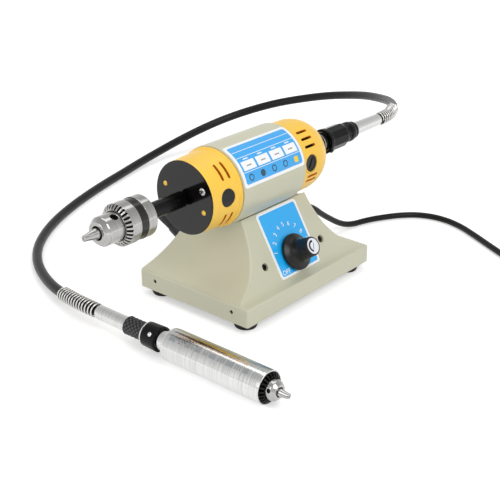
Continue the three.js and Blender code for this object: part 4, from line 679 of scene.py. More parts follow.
def coil_route(diameter):
    """The coil's middle line, 24 points a turn: in along the lower layer at a steady rate, up in the half
    turn where the spiral reverses, out along the upper layer, then down a straight tail to the plug."""
    entry, centre, outer, first = coil_frame(diameter)
    turns = np.arange(0, (2 * COIL_LAYER_TURNS + 0.5) * 24 + 1) / 24
    climb = np.clip((turns - COIL_LAYER_TURNS) / 0.5, 0, 1)
    inward = np.minimum(turns, COIL_LAYER_TURNS) - np.maximum(turns - COIL_LAYER_TURNS - 0.5, 0)
    radius = outer - (inward + climb * (1 - climb) * 0.5) * COIL_PITCH
    angle = first + turns * TAU
    x, y = centre[0] + radius * np.cos(angle), centre[1] + radius * np.sin(angle)
    loops = np.stack([x, y, entry[2] + climb * COIL_PITCH], 1)
    leave = (loops[-1] - loops[-2]) * [1, 1, 0]
    leave /= np.linalg.norm(leave)
    share = np.arange(1, 9) / 8
    drop = np.clip((share - 0.4) / 0.5, 0, 1)
    tail = loops[-1] + COIL_TAIL * share[:, None] * leave
    tail[:, 2] += (PLUG_HEIGHT / 2 + GAP - loops[-1][2]) * drop**2 * (3 - 2 * drop)
    return np.concatenate([loops, tail])


def make_guard(node, path, pitch, finish):
    """A spring guard: a round wire wound round the hose, p + R (cos a n + sin a b). The path starts where
    the guard does."""
    wire, curls, winding, start, per_turn = 0.85, 14, 6.3, 0.9, 40
    along = np.r_[0, np.cumsum(np.linalg.norm(np.diff(path, axis=0), axis=1))]
    turns = np.arange(0, curls * per_turn + 1) / per_turn
    at = start + wire + turns * pitch
    centre = np.stack([np.interp(at, along, path[:, k]) for k in range(3)], 1)
    heading = directions(centre)
    side = np.cross(heading, UP)
    side /= np.linalg.norm(side, axis=1, keepdims=True)
    over = np.cross(side, heading)
    angle = turns[:, None] * TAU
    outward = np.cos(angle) * side + np.sin(angle) * over
    coil = swept(centre + winding * outward, wire, 12, normal=outward)
    return make(f"{node}_wire", [(coil, 0)], [finish.wire], stands_for=[node], slot="bright_steel")


def make_relief(finish):
    """The cord's strain relief: a tapered sleeve with grooves, whose radius falls along its length."""
    tip, tilt, grooves_from, grooves_to, groove_pitch = 31.8, math.radians(22), 13, 30.5, 2.6
    at = seat([52.5, 12, 63], [math.cos(tilt), 0, -math.sin(tilt)], [math.sin(tilt), 0, math.cos(tilt)])
    x = np.linspace(0, tip, 180)
    taper = np.interp(x, [0, 12, tip], [5.5, 5.5, 4.1])
    wave = np.clip(np.sin((x - grooves_from) / groove_pitch * TAU), 0, 1) ** 0.5
    groove = 0.55 * wave * ((x > grooves_from) & (x < grooves_to))
    profile = np.concatenate([[[0, 0]], np.stack([x, taper - groove], 1), [[tip, 0]]])
    return make_turned("cord_relief", profile, at, 48, [finish.rubber], "strain_relief")


def make_plug(cord_path, finish):
    """A moulded two-pin plug: sections are superellipses |x/a|^3.2 + |y/b|^3.2 = 1 whose half width and half
    height follow the length, and two turned pins with round ends stand on its flat face."""
    end = cord_path[-1]
    along = (cord_path[-1] - cord_path[-8]) * [1, 1, 0]
    along /= np.linalg.norm(along)
    at = seat(end + along * GAP, along, UP)
    stations = [0, 4, 10, 17, 30, 33, 34]
    half_widths = [4.6, 5.2, 8.6, 12.3, 12.9, 12.6, 11.6]
    half_heights = [4.6, 5.0, 5.9, 6.7, 6.9, 6.6, 5.8]
    total, pin_spacing = stations[-1], 18.6
    x = np.linspace(0, total, 60)
    ridge = 0.35 * np.clip(np.sin(x / 2.2 * TAU), 0, 1) * ((x > 4) & (x < 13))
    wide = np.r_[0, np.interp(x, stations, half_widths) - ridge, 0]
    tall = np.r_[0, np.interp(x, stations, half_heights) - ridge, 0]
    x = np.r_[0, x, total]
    angle = np.linspace(0, TAU, 64, endpoint=False)
    c, s = (np.sign(part) * np.abs(part) ** (2 / 3.2) for part in (np.cos(angle), np.sin(angle)))
    body = np.stack(np.broadcast_arrays(x[:, None], wide[:, None] * c, tall[:, None] * s), -1)
    pin = closed((30, 2.4), (53, 2.4, 2.2), steps=8)
    pins = [(turned(pin, moved(at, side=side * pin_spacing / 2), 32), 1) for side in (-1, 1)]
    surfaces = [(placed(body, at), 0), *pins]
    finishes = [finish.nylon, finish.steel]
    return make("cord_plug", surfaces, finishes, stands_for=["plug_body"], slot="black_plastic")


def make_tie(coil_diameter, finish):
    """A thin strap round the coil's bundle: a rounded loop in an upright plane through the coil's centre."""
    cord_radius = coil_diameter / 2
    entry, centre, outer, first = coil_frame(coil_diameter)
    angle = first + math.radians(200)
    outward = np.array([math.cos(angle), math.sin(angle), 0])
    inner, far = COIL_INNER_RADIUS - cord_radius - 1.2, outer + cord_radius + 1.0
    low, high = entry[2] - cord_radius - 0.12, entry[2] + COIL_PITCH + cord_radius + 0.4
    loop = rounded_rectangle((far - inner) / 2, (high - low) / 2, cord_radius, per_side=6, per_corner=8)
    middle = centre + outward * (far + inner) / 2
    middle[2] = (low + high) / 2
    path = middle + loop[:, :1] * outward + loop[:, 1:] * UP
    across = np.cross(outward, UP)
    outside = directions(np.concatenate([path[-1:], path, path[:1]]))[1:-1]
    outside = np.cross(outside, across)
    wide, thick = 4, 0.22
    section = np.array([(-wide, 0), (-wide, thick), (wide, thick), (wide, 0)])
    grid = path[:, None] + section[None, :, :1] * across - section[None, :, 1:] * outside[:, None]
    return make("cord_tie", [(np.concatenate([grid, grid[:1]]), 0)], [finish.nylon], slot="black_plastic")


def pedestal_measures():
    """Sizes of the pedestal, read off its packed solid and its neighbours."""
    low, high = span("base_housing")
    saddle = span("motor_shaft")
    half_length, half_width = (high[0] - low[0]) / 2, (high[1] - low[1]) / 2
    return SimpleNamespace(
        half_length=half_length,
        half_width=half_width,
        bottom=low[2],
        skirt_top=25.5,
        axis_z=(saddle[0][2] + saddle[1][2]) / 2,
        neck_half=47,
        neck_z=86,
        pull=(50, 38),
        panel_foot=-55.1,
        panel_top=-1,
        back_top=21.4,
    )


def panel_seat():
    """The sloping panel's frame from its foot: first axis out of the panel, third up the slope."""
    m = pedestal_measures()
    slope = np.array([0, m.panel_top - m.panel_foot, m.axis_z - m.skirt_top])
    slope /= np.linalg.norm(slope)
    return seat([0, m.panel_foot, m.skirt_top], [0, -slope[2], slope[1]], slope)


def back_seat(x, z):
    """A frame on the pedestal's back slope at the given place: first axis out of the slope."""
    m = pedestal_measures()
    slope = np.array([0, m.back_top - m.half_width, m.axis_z - m.skirt_top])
    slope /= np.linalg.norm(slope)
    y = m.half_width + (z - m.skirt_top) * slope[1] / slope[2]
    return seat([x, y, z], [0, slope[2], -slope[1]], slope)


def flank_half(z, m, edge):
    """Half length of the pedestal at a height: upright at the skirt, rounded over its edge by a quarter
    circle, then the quadratic curve from the skirt's edge to the neck, found by its height."""
    t = np.linspace(0, 1, 400)
    x = (1 - t) ** 2 * m.half_length + 2 * t * (1 - t) * m.pull[0] + t**2 * m.neck_half
    height = (1 - t) ** 2 * m.skirt_top + 2 * t * (1 - t) * m.pull[1] + t**2 * m.neck_z
    flank = np.interp(z, height, x, left=m.half_length, right=m.neck_half)
    rise = np.clip((z - (m.skirt_top - edge)) / edge, 0, 1)
    rounded = m.half_length - edge * (1 - np.sqrt(1 - rise**2))
    return np.minimum(flank, rounded)


def pedestal_grid(sizes):
    """The pedestal as one closed grid. Each row is a rectangle with round corners, whose front follows the
    skirt, the ledge and the sloping panel, whose back follows the back slope and whose ends follow the
    flanks. Each column stops where it meets the motor's saddle, a cylinder, and runs over that to its
    middle."""
    m = pedestal_measures()
    saddle_radius = sizes.motor_radius + SADDLE_GAP
    slope_run = (m.panel_top - m.panel_foot) / (m.axis_z - m.skirt_top)
    back_run = (m.half_width - m.back_top) / (m.axis_z - m.skirt_top)
    top = m.axis_z - 2
    front = outline(
        (-m.half_width, m.bottom),
        (-m.half_width, m.skirt_top, sizes.skirt_edge),
        (m.panel_foot, m.skirt_top, sizes.panel_fillet),
        (m.panel_foot + (top - m.skirt_top) * slope_run, top),
        steps=9,
    )
    front = spread(front, 1.3)
    z = front[:, 1]
    back = m.half_width - np.logaddexp(0, (z - m.skirt_top) * 2.2) / 2.2 * back_run
    half = flank_half(z, m, sizes.skirt_edge)
    corner = np.interp(z, [m.skirt_top - 3, m.skirt_top + 12], [sizes.skirt_corner, sizes.arris])
    unit = rectangle_columns(40, 26, 9)
    sx, cx, ty, cy = (unit[:, k][None, :] for k in range(4))
    half, back, corner, z, y0 = (value[:, None] for value in (half, back, corner, z, front[:, 0]))
    x = sx * (half - corner) + cx * corner
    y = y0 + corner + ty * (back - y0 - 2 * corner) + cy * corner
    wall = np.stack(np.broadcast_arrays(x, y, z + 0 * sx), -1)
    reach = np.hypot(wall[..., 1], wall[..., 2] - m.axis_z) - saddle_radius
    last = np.argmax(reach < 0, axis=0)
    steps = np.arange(len(wall))[:, None]
    cut = np.minimum(steps, last[None, :])
    columns = np.arange(wall.shape[1])[None, :]
    inside, outside = wall[last, columns[0]], wall[last - 1, columns[0]]
    near, far = reach[last - 1, columns[0]], reach[last, columns[0]]
    share = (near / (near - far))[:, None]
    rim = outside + (inside - outside) * share
    trimmed = wall[cut, columns]
    trimmed = np.where((steps >= last[None, :])[..., None], rim[None], trimmed)
    angle = np.arctan2(rim[:, 1], m.axis_z - rim[:, 2])
    middle = (angle.max() + angle.min()) / 2
    shrink = np.linspace(0.97, 0, 14)[:, None]
    turn = middle + (angle - middle)[None] * shrink
    saddle = np.stack(
        [rim[None, :, 0] * shrink, saddle_radius * np.sin(turn), m.axis_z - saddle_radius * np.cos(turn)], -1
    )
    bottom = trimmed[:1]
    inner = bottom * [1 - sizes.wall / m.half_length, 1 - sizes.wall / m.half_width, 1]
    raised = inner + [0, 0, 3]
    centre = raised * [0, 0, 1]
    chamfer = bottom * [1 - 0.5 / m.half_length, 1 - 0.5 / m.half_width, 1]
    lifted = bottom + [0, 0, 0.5]
    underside = [centre, raised * [0.5, 0.5, 1], raised, inner, chamfer, lifted]
    return np.concatenate([*underside, trimmed[1:], saddle])


def rectangle_columns(per_long, per_short, per_corner):
    """Columns round a rectangle with round corners as shares: along the long side, corner x, along the short
    side, corner y. A place is sx (half - r) + cx r and y0 + r + ty (depth - 2 r) + cy r."""
    quarter = np.linspace(0, math.pi / 2, per_corner, endpoint=False)
    long = np.linspace(-1, 1, per_long, endpoint=False)
    short = np.linspace(0, 1, per_short, endpoint=False)
    one = np.ones
    parts = [
        np.stack([long, 0 * long, 0 * long, -one(per_long)], 1),
        np.stack([one(per_corner), np.sin(quarter), 0 * quarter, -np.cos(quarter)], 1),
        np.stack([one(per_short), one(per_short), short, 0 * short], 1),
        np.stack([one(per_corner), np.cos(quarter), one(per_corner), np.sin(quarter)], 1),
        np.stack([-long, 0 * long, one(per_long), one(per_long)], 1),
        np.stack([-one(per_corner), -np.sin(quarter), one(per_corner), np.cos(quarter)], 1),
        np.stack([-one(per_short), -one(per_short), 1 - short, 0 * short], 1),
        np.stack([-one(per_corner), -np.cos(quarter), 0 * quarter, -np.sin(quarter)], 1),
    ]
    return np.concatenate(parts)


def screw_surfaces(radius, at, shank=6.0):
    """A pan-head screw whose dome is a quarter ellipse. The frame's origin is the top of its head."""
    angle = np.linspace(0, math.pi / 2, 9)
    dome = np.stack([-radius * 0.42 + radius * 0.42 * np.sin(angle), radius * np.cos(angle)], 1)
    head = np.concatenate([[[-radius * 0.7, radius * 0.5], [-radius * 0.7, radius * 0.98]], dome])
    profile = np.concatenate([[[-shank, 0], [-shank, radius * 0.5]], head])
    return [(turned(profile, at, 36), 0)]


def cross_cutter(radius, at):
    """The cross recess of a screw's head: a plus-shaped plate that narrows as it goes down. It starts a
    little off the level, as screws happen to stop."""
    arm, half = radius * 0.62, radius * 0.13
    corner = np.array([(arm, -half), (arm, half), (half, half)])
    edge = np.concatenate([rotated(corner, 0.3 + k * math.pi / 2) for k in range(4)])
    size = np.array([0, 0.6, 1.0, 0])[:, None]
    depth = np.array([-0.4, -0.4, 0.2, 0.2])[:, None] * radius
    u, v = size * edge[None, :, 0], size * edge[None, :, 1]
    return placed(np.stack(np.broadcast_arrays(depth, u, v), -1), at)


def make_cross_screw(name, radius, at, finish, node, slot):
    """A screw with a cross recess, in the place of a packed one."""
    head, cross = screw_surfaces(radius, at), cross_cutter(radius, at)
    make(name, head, [finish], stands_for=[node], slot=slot, cutters=[cross])


def make_pedestal(sizes, finish):
    """The pedestal with its screw holes, the rubber feet and the screws."""
    m, panel = pedestal_measures(), panel_seat()
    hole_radius, screw_radius, side_y, side_z = 3.7, 3.2, 47.5, 18
    panel_hole = closed(
        (-2.6, hole_radius), (-0.5, hole_radius), (0.6, hole_radius + 0.9), (4, hole_radius + 0.9)
    )
    side_hole = closed((-2.2, 1.9), (4, 1.9))

    def panel_place(side, sunk=0.0):
        """The seat of a panel screw, square to the slope."""
        return moved(panel, along=-sunk, side=side * 42, up=KNOB_RISE)

    def side_place(side, end, sunk=0.0):
        """The seat of a small screw in the skirt's side wall."""
        return seat([side * (m.half_length - sunk), end * side_y, side_z], [side, 0, 0], UP)

    cutters = []
    for side in (-1, 1):
        cutters.append(turned(panel_hole, panel_place(side), 40))
        cutters += [turned(side_hole, side_place(side, end), 24) for end in (-1, 1)]
    make(
        "pedestal_housing", [(pedestal_grid(sizes), 0)], [finish.enamel], stands_for=["base_housing"],
        slot="beige_enamel", cutters=cutters, crease=38,
    )
    for side, word in ((-1, "left"), (1, "right")):
        at, node = panel_place(side, 0.9), f"panel_screw_{word}"
        make_cross_screw(f"panel_screw_head_{word}", screw_radius, at, finish.blackened, node, "black_steel")
        for end, other in ((-1, "near"), (1, "far")):
            screw = screw_surfaces(1.85, side_place(side, end, 0.4), shank=1.6)
            make(f"skirt_screw_{word}_{other}", screw, [finish.polished], slot="black_plastic")
    for end in ("front", "rear"):
        for side in ("near", "far"):
            make_foot(f"foot_{end}_{side}", finish)


def make_foot(node, finish):
    """A moulded rubber foot: a short cone with rounded edges and a hollow for its screw."""
    low, high = span(node)
    middle = (low + high) / 2
    at = seat([middle[0], middle[1], 0], [0, 0, 1], [0, 1, 0])
    tall, wide = high[2], (high[0] - low[0]) / 2
    profile = closed(
        (2.2, 3.2), (0, 3.6, 0.4), (0, wide * 0.87, 1.0), (tall * 0.62, wide, 1.2), (tall, wide * 0.99, 0.6)
    )
    make_turned(f"rubber_{node}", profile, at, 64, [finish.rubber], node, "black_rubber")


def flat_on(at, base):
    """A surface map for plates on a plane: u along the frame's second axis, v along its third."""
    return lambda u, v, h: placed(np.stack([base + h, u, v], -1), at)


def round_on(at, radius):
    """A surface map for plates on a cylinder or cone round a frame's first axis: u along it, v round it."""

    def surface(u, v, h):
        """The place r + h from the axis, at the angle v over the mean radius, up from the near side."""
        r = radius(u) if callable(radius) else radius
        mean = np.mean(r)
        angle = v / mean
        return placed(np.stack([u, -(r + h) * np.cos(angle), (r + h) * np.sin(angle)], -1), at)

    return surface


def lettering(name, words, finish, body="root"):
    """Raised print from Blender's own font, given as (text, height, u, v, turn, frame, base): each is made
    a mesh before its place is applied."""
    pieces = []
    for text, height, u, v, turn, at, base in words:
        curve = bpy.data.curves.new("mark", "FONT")
        curve.body = text
        curve.size = height / 0.72
        curve.align_x, curve.align_y = "CENTER", "CENTER"
        curve.extrude = 0.03
        curve.resolution_u = 4
        holder = object_of("mark", curve)
        mesh = bpy.data.meshes.new_from_object(holder)
        bpy.data.objects.remove(holder)
        points = np.empty(len(mesh.vertices) * 3)
        mesh.vertices.foreach_get("co", points)
        points = points.reshape(-1, 3)
        flat = rotated(points[:, :2], turn) + [u, v]
        local = np.stack([base + points[:, 2], flat[:, 0], flat[:, 1]], 1)
        mesh.vertices.foreach_set("co", (placed(local, at) * MM + SHIFT).astype(np.float32).ravel())
        mesh.update()
        pieces.append(mesh)
    shape = bmesh.new()
    for mesh in pieces:
        shape.from_mesh(mesh)
    bmesh.ops.remove_doubles(shape, verts=shape.verts, dist=1e-6)
    bmesh.ops.recalc_face_normals(shape, faces=shape.faces)
    joined = bpy.data.meshes.new(name)
    shape.to_mesh(joined)
    shape.free()
    return dress(object_of(name, joined), [finish], body, slot="blue_print", crease=20)


def make_panel(sizes, finish):
    """The printed panel label with a plain scale, and the speed knob."""
    panel = panel_seat()
    low, high = span("panel_label")
    rise = math.hypot(high[1] - low[1], high[2] - low[2])
    middle = math.hypot((low[1] + high[1]) / 2 - panel.origin[1], (low[2] + high[2]) / 2 - panel.origin[2])
    centre, surface, border = (0, middle), flat_on(panel, 0), 2.6
    half, tall = sizes.label_width / 2, rise / 2
    surfaces = [
        (plate(rounded_rectangle(half, tall, 4), 0.05, 0.55, surface, centre), 0),
        (plate(rounded_rectangle(half - border, tall - border, 2.4), 0.5, 0.58, surface, centre), 1),
    ]
    foils = [finish.foil_white, finish.foil_blue]
    make("panel_print", surfaces, foils, stands_for=["panel_label"], slot="blue_print")
    height, base, radius, narrowing = 4.6, 0.6, 28.5, 0.82
    words = [("OFF", height, -19.5, KNOB_RISE - 13.2, 0.0, panel, base)]
    for number in range(1, 10):
        angle = math.radians(166) + (math.radians(14) - math.radians(166)) * (number - 1) / 8
        u, v = radius * math.cos(angle) * narrowing, KNOB_RISE + radius * math.sin(angle)
        words.append((str(number), height, u, v, angle - math.pi / 2, panel, base))
    lettering("panel_scale", words, finish.foil_white)
    make_knob(sizes, finish, moved(panel, along=1.2, up=KNOB_RISE))


def make_knob(sizes, finish, at):
    """The speed knob: a flared skirt, a fluted cap and a pale insert with a plain arc and a pointer."""
    skirt, cap = sizes.knob_radius, sizes.knob_cap_radius
    profile = closed(
        (1.4, skirt - 1.5), (1.3, skirt, 0.4), (3.6, skirt, 0.9), (6.2, skirt - 4.4, 2.0),
        (8.2, cap + 1.9, 2.6), (12, cap + 0.5, 2.0), (23.8, cap - 0.1, 0.5), (24.8, cap - 1.0, 0.3),
        (24.8, 7.7), (24.2, 7.6),
    )

    def flutes(x, r, angle):
        """Fine grip flutes on the cap's side: r - d |sin(n t / 2)|, faded out at both ends."""
        fade = np.clip((x - 11.5) / 1.5, 0, 1) * np.clip((24.0 - x) / 0.8, 0, 1)
        return x, r - 0.28 * fade * (r > 8) * np.abs(np.sin(16 * angle))

    top = flat_on(at, 24.2)
    pointer = rounded_rectangle(3.2, 0.45, 0.3, per_side=2, per_corner=4)
    surfaces = [
        (turned(spread(profile, 0.8), at, 320, flutes), 0),
        (plate(circle(7.5, 64), 0.02, 0.32, top, rings=4), 1),
        (arc_band(3.7, 5.6, 75, 250, 0.3, 0.4, top), 0),
        (plate(pointer, 0.3, 0.4, top, (0.6, -0.2), 1.1, 2), 2),
    ]
    finishes = [finish.nylon, finish.insert, finish.foil_grey]
    make("knob_moulding", surfaces, finishes, "knob", ["speed_knob"], "black_plastic")


def arc_band(inner, outer, start, stop, low, high, surface):
    """A flat curved band between two radii and two angles, as a closed tube with four long edges."""
    angle = np.radians(np.linspace(start, stop, 40))[:, None]
    radius = np.array([inner, outer, outer, inner])[None, :]
    height = np.array([low, low, high, high])[None, :]
    grid = surface(radius * np.cos(angle), radius * np.sin(angle), np.broadcast_to(height, (40, 4)))
    first, last = (np.broadcast_to(grid[k].mean(0), (1, 4, 3)) for k in (0, -1))
    return np.concatenate([first, grid, last])


def make_fuse(finish):
    """The fuse holder on the back slope: a flange, a tapered body and a screwed cap with grip ribs."""
    at = back_seat(-46, 49)
    holder = closed(
        (-22, 5.5, 0.4), (0.3, 5.5), (0.3, 8.4), (2.0, 8.5, 0.5), (2.3, 7.2), (12.9, 6.7, 0.5), (13.3, 5.2)
    )
    make_turned("fuse_holder_body", holder, at, 64, [finish.nylon], "fuse_holder", "black_plastic")
    cap = closed((13.6, 5.3), (14.6, 5.8, 0.4), (30.2, 5.7, 0.6), (30.6, 4.6, 0.3))

    def ribs(x, r, angle):
        """Grip ribs round the cap: r - d (1 - |cos(n t / 2)|), faded out at the top."""
        fade = np.clip((x - 14.6) / 0.6, 0, 1) * np.clip((29.6 - x) / 0.6, 0, 1) * (r > 4)
        return x, r - 0.35 * fade * (1 - np.abs(np.cos(9 * angle)))

    make_turned(
        "fuse_cap_moulding", cap, at, 216, [finish.nylon], "fuse_cap", "black_plastic", step=0.7, wave=ribs
    )


def motor_seat(sizes):
    """The motor case's frame on its axis, turned in the saddle."""
    m = pedestal_measures()
    turn = sizes.motor_turn
    return seat([0, 0, m.axis_z], [1, 0, 0], [0, math.sin(turn), math.cos(turn)])


def axis_seat():
    """A level frame on the motor's axis."""
    return seat([0, 0, pedestal_measures().axis_z], [1, 0, 0], UP)


def make_motor(sizes, finish):
    """The motor's housing with its label."""
    at = motor_seat(sizes)
    front, rear = ends("motor_housing", at)
    radius = sizes.motor_radius
    tube = closed((front, radius, 0.5), (rear, radius, 0.5), bore=radius - 2.4)
    make_turned("motor_case", tube, at, 160, [finish.enamel], "motor_housing", "beige_enamel", step=12)
    make_motor_label(sizes, finish, at, front, rear)


def make_motor_label(sizes, finish, at, front, rear):
    """The wrapped label: a white foil with a blue field, four white boxes, thin lines and plain marks."""
    radius = sizes.motor_radius + GAP
    surface = round_on(at, radius)
    first, sweep, border = math.radians(4), math.radians(66), 2.9
    tall, wide = sweep * radius / 2, (rear - front) / 2 - 1.2
    middle = ((front + rear) / 2 - 0.4, (first + sweep / 2) * radius)
    field = (wide - border, tall - border)
    surfaces = [
        (plate(rounded_rectangle(wide, tall, 3.2, per_side=20), -0.2, 0.36, surface, middle, rings=14), 0),
        (plate(rounded_rectangle(*field, 2.2, per_side=20), 0.3, 0.42, surface, middle, rings=14), 1),
    ]
    low = middle[1] - field[1]

    def mark(edge, along, up, low_height, finish_number, rings=3):
        """A plate at a share of the field's length and a height over the field's lower edge."""
        place = (middle[0] + along * field[0], low + up)
        shape = plate(edge, low_height, low_height + 0.06, surface, place, rings=rings)
        surfaces.append((shape, finish_number))

    line = rounded_rectangle(field[0] * 0.99, 0.25, 0.1, per_side=24, per_corner=2)
    for up in (10.6, 24.8, 31.2):
        mark(line, 0, up, 0.4, 0, rings=2)
    box = rounded_rectangle(field[0] * 0.212, 4.3, 0.5, per_corner=3)
    dash = rounded_rectangle(field[0] * 0.08, 0.5, 0.2, per_side=4, per_corner=3)
    for along in (-0.735, -0.245, 0.245, 0.735):
        mark(box, along, 16.4, 0.4, 0, rings=5)
        mark(dash, along, 16.0, 0.46, 5, rings=2)
        mark(dash, along, 22.6, 0.4, 0, rings=2)
    for along, inner in zip((-0.8, -0.4, 0, 0.4), (1, 2, 1, 1)):
        mark(circle(3.2, 28), along, 5.2, 0.4, 2)
        mark(circle(2.1, 24), along, 5.2, 0.46, inner)
    mark(rounded_rectangle(2.7, 2.7, 0.9, per_side=4, per_corner=4), 0.8, 5.2, 0.4, 4)
    foils = [getattr(finish, "foil_" + tone) for tone in ("white", "sky", "ink", "line", "yellow", "grey")]
    make("motor_print", surfaces, foils, stands_for=["motor_label"], slot="blue_print", crease=40)


def side_seat(at, x, side):
    """A frame that points out of the near (-1) or far (1) side of a motor frame."""
    return seat(placed(np.array([x, 0, 0.0]), at), side * at.axes[1], at.axes[2])


def make_front_cap(sizes, finish):
    """The front cap with its flange, slots and plugs, the glossy disc, its screws and two studs."""
    at = motor_seat(sizes)
    rim, joint = ends("front_cap", at)[0], ends("motor_housing", at)[0]
    edge, root, flange, wall = sizes.front_cap_radius, sizes.front_cap_root, sizes.flange_radius, 2.4
    flange_front, plug_x = joint - 4, rim + 18.4
    profile = closed(
        (rim, edge, 0.5), (flange_front - 0.8, root, 0.4), (flange_front - 0.2, flange, 0.5),
        (joint - 1.6, flange, 0.3), (joint - 1.5, flange - 0.5), (joint - 0.3, flange - 0.5, 0.2),
        (joint - 0.3, root - wall), (flange_front, root - wall), (rim + 5.6, edge - wall), (rim + 5.6, 6),
        (rim + 2.4, 6), bore=sizes.plate_radius + GAP,
    )

    def cone(u):
        """Outer radius of the cap's cone at a place along the motor."""
        return edge + (root - edge) * (u - rim) / (flange_front - rim)

    cutters = []
    slot_angle, slot_sweep, bore = math.radians(40), math.radians(14), sizes.plug_radius + 0.25
    for half, side in ((0, -1), (math.pi, 1)):
        for angle in (half - slot_angle, half + slot_angle):
            for x in (plug_x - 0.95, plug_x + 6.85):
                r = float(cone(x))
                shape = (r * slot_sweep, sizes.slot_width / 2, (x, angle * r))
                # Finish 1 paints the slot's walls in shade, a darker orange
                cutters.append((slot_cutter(*shape, round_on(at, r), -3.2, 4, math.pi / 2), 1))
        cutters.append(turned(closed((20, bore), (42, bore)), side_seat(at, plug_x, side), 64))
    make_turned(
        "front_cap_moulding", profile, at, 192, [finish.caps, finish.cut_caps], "front_cap", "yellow_abs",
        step=3, cutters=cutters, crease=30,
    )
    for half, word in ((0, "near"), (math.pi, "far")):
        centre = (plug_x, half * float(cone(plug_x)))
        disc = plate(circle(sizes.plug_radius, 56), -3.0, -0.25, round_on(at, cone), centre, rings=8)
        make(
            f"cap_plug_disc_{word}", [(disc, 0)], [finish.nylon], stands_for=[f"cap_plug_{word}"],
            slot="black_plastic",
        )
    make_front_disc(sizes, finish, at, rim)


def make_front_disc(sizes, finish, at, rim):
    """The glossy disc in the cap's mouth, with two screws and two yellow studs."""
    lip, radius, screw_radius, hole_circle = sizes.front_cap_radius, sizes.plate_radius, 3.5, 24
    profile = closed(
        (rim - 0.4, lip, 0.2), (rim - 0.05, lip), (rim - 0.05, radius), (rim + 2.2, radius), bore=4.9
    )

    def on_disc(proud, degrees):
        """A seat on the disc's hole circle that points out of the disc and stands proud of the rim."""
        return seat(placed_round(at, rim - proud, hole_circle, math.radians(degrees)), [-1, 0, 0], UP)

    screws = ((22, "upper"), (202, "lower"))
    hole = closed((-6, 1.8), (6, 1.8))
    holes = [turned(hole, on_disc(0, screw[0]), 24) for screw in screws]
    gloss, slot = [finish.acrylic], "black_gloss"
    make_turned("front_disc", profile, at, 160, gloss, "front_plate", slot, step=4, cutters=holes)
    for angle, word in screws:
        place, node = on_disc(1.45, angle), f"plate_screw_{word}"
        make_cross_screw(f"plate_screw_head_{word}", screw_radius, place, finish.steel, node, "bright_steel")
    dome = closed((-1.4, 2.3), (-0.6, 2.3, 0.5), (0, 1.3, 0.8))
    studs = [(turned(dome, on_disc(1.2, angle), 32), 0) for angle in (-25, 155)]
    make("disc_studs", studs, [finish.caps], slot="yellow_abs")


def placed_round(at, x, radius, angle):
    """The place at a distance from a frame's first axis, by the angle up from its near side."""
    return placed(np.array([x, -radius * math.cos(angle), radius * math.sin(angle)]), at)


def make_rear_cap(sizes, finish):
    """The domed rear cap with its slots, a raised ring round each brush cap, and the brush caps."""
    at = motor_seat(sizes)
    face, end = ends("motor_housing", at)[1] + 0.3, ends("rear_cap", at)[1]
    radius, end_radius, dome, wall = sizes.rear_cap_radius, sizes.rear_cap_end, sizes.rear_cap_round, 2.4
    turn = np.linspace(0, math.pi / 2, 28)
    x, r = end - dome + dome * np.sin(turn), end_radius + (radius - end_radius) * np.cos(turn)
    outside = np.stack([x, r], 1)
    inside = (outside - wall)[::-1]
    start = outline((face, radius - 4), (face, radius, 0.5), (end - dome, radius))
    hole = [[end, 4.8], [end - 3, 4.8]]
    profile = np.concatenate([start[:-1], outside, hole, inside, [[face, radius - 4]]])
    brush_x, bore, half_slot = 37, sizes.plug_radius + 0.3, 7.5
    surface = round_on(at, radius)
    cutters, collars = [], []
    ring = outline(
        (radius - 3.5, 8.35), (radius + 0.25, 8.35, 0.3), (radius + 0.25, 9.6, 0.5), (radius - 3.5, 10.1),
        (radius - 3.5, 8.35),
    )
    for side in (-1, 1):
        for angle in (26, 39, 52, -22, -30.5):
            # The far slots stand a hair off their mirrored places,
            # where the cut would fall on the grid's lines
            turn = math.radians(angle if side == -1 else 180.2 - angle)
            centre = (33 + half_slot, turn * radius)
            # Finish 1 paints the slot's walls in shade, a darker orange
            cutters.append((slot_cutter(half_slot, sizes.slot_width / 2, centre, surface, -6, 4), 1))
        out = side_seat(at, brush_x, side)
        cutters.append(turned(closed((24, bore), (44, bore)), out, 64))
        collars.append((turned(ring, out, 64), 0))
    make_turned(
        "rear_cap_moulding", profile, at, 192, [finish.caps, finish.cut_caps], "rear_cap", "yellow_abs",
        step=2.5, cutters=cutters, crease=30,
    )
    make("brush_cap_collars", collars, [finish.caps], slot="yellow_abs")
    cap = closed(
        (16, 5.6), (radius - 4, 5.6), (radius - 4, 8), (radius - 0.3, 8, 0.5), (radius - 0.3, 6.3, 0.3),
        (radius - 0.9, 6.1, 0.2), (radius - 0.9, 0), (radius - 2.0, 0), bore=4.5,
    )
    for side, word in ((-1, "near"), (1, "far")):
        out = side_seat(at, brush_x, side)
        slot = slot_cutter(5.6, 1.0, (0, 0), flat_on(out, radius - 1), -0.7, 2, math.radians(60))
        make_turned(
            f"brush_cap_head_{word}", cap, out, 72, [finish.nylon], f"brush_cap_{word}", "black_plastic",
            cutters=[slot],
        )


def make_rod(sizes, finish):
    """The spindle rod with its chamfered end."""
    at = axis_seat()
    front, rear = ends("spindle_rod", at)
    shoulder, radius = ends("chuck_body", at)[1] + 0.3, sizes.rod_radius
    profile = closed(
        (-113.3, 4.3), (rear, 4.3), (rear, radius - 1, 0.2), (rear - 1.1, radius, 0.5),
        (shoulder, radius, 0.3), (shoulder, 4.9), (front, 4.9),
    )
    paint, slot = [finish.blackened], "black_steel"
    make_turned("spindle_rod_bar", profile, at, 80, paint, "spindle_rod", slot, step=6, body="rotor")


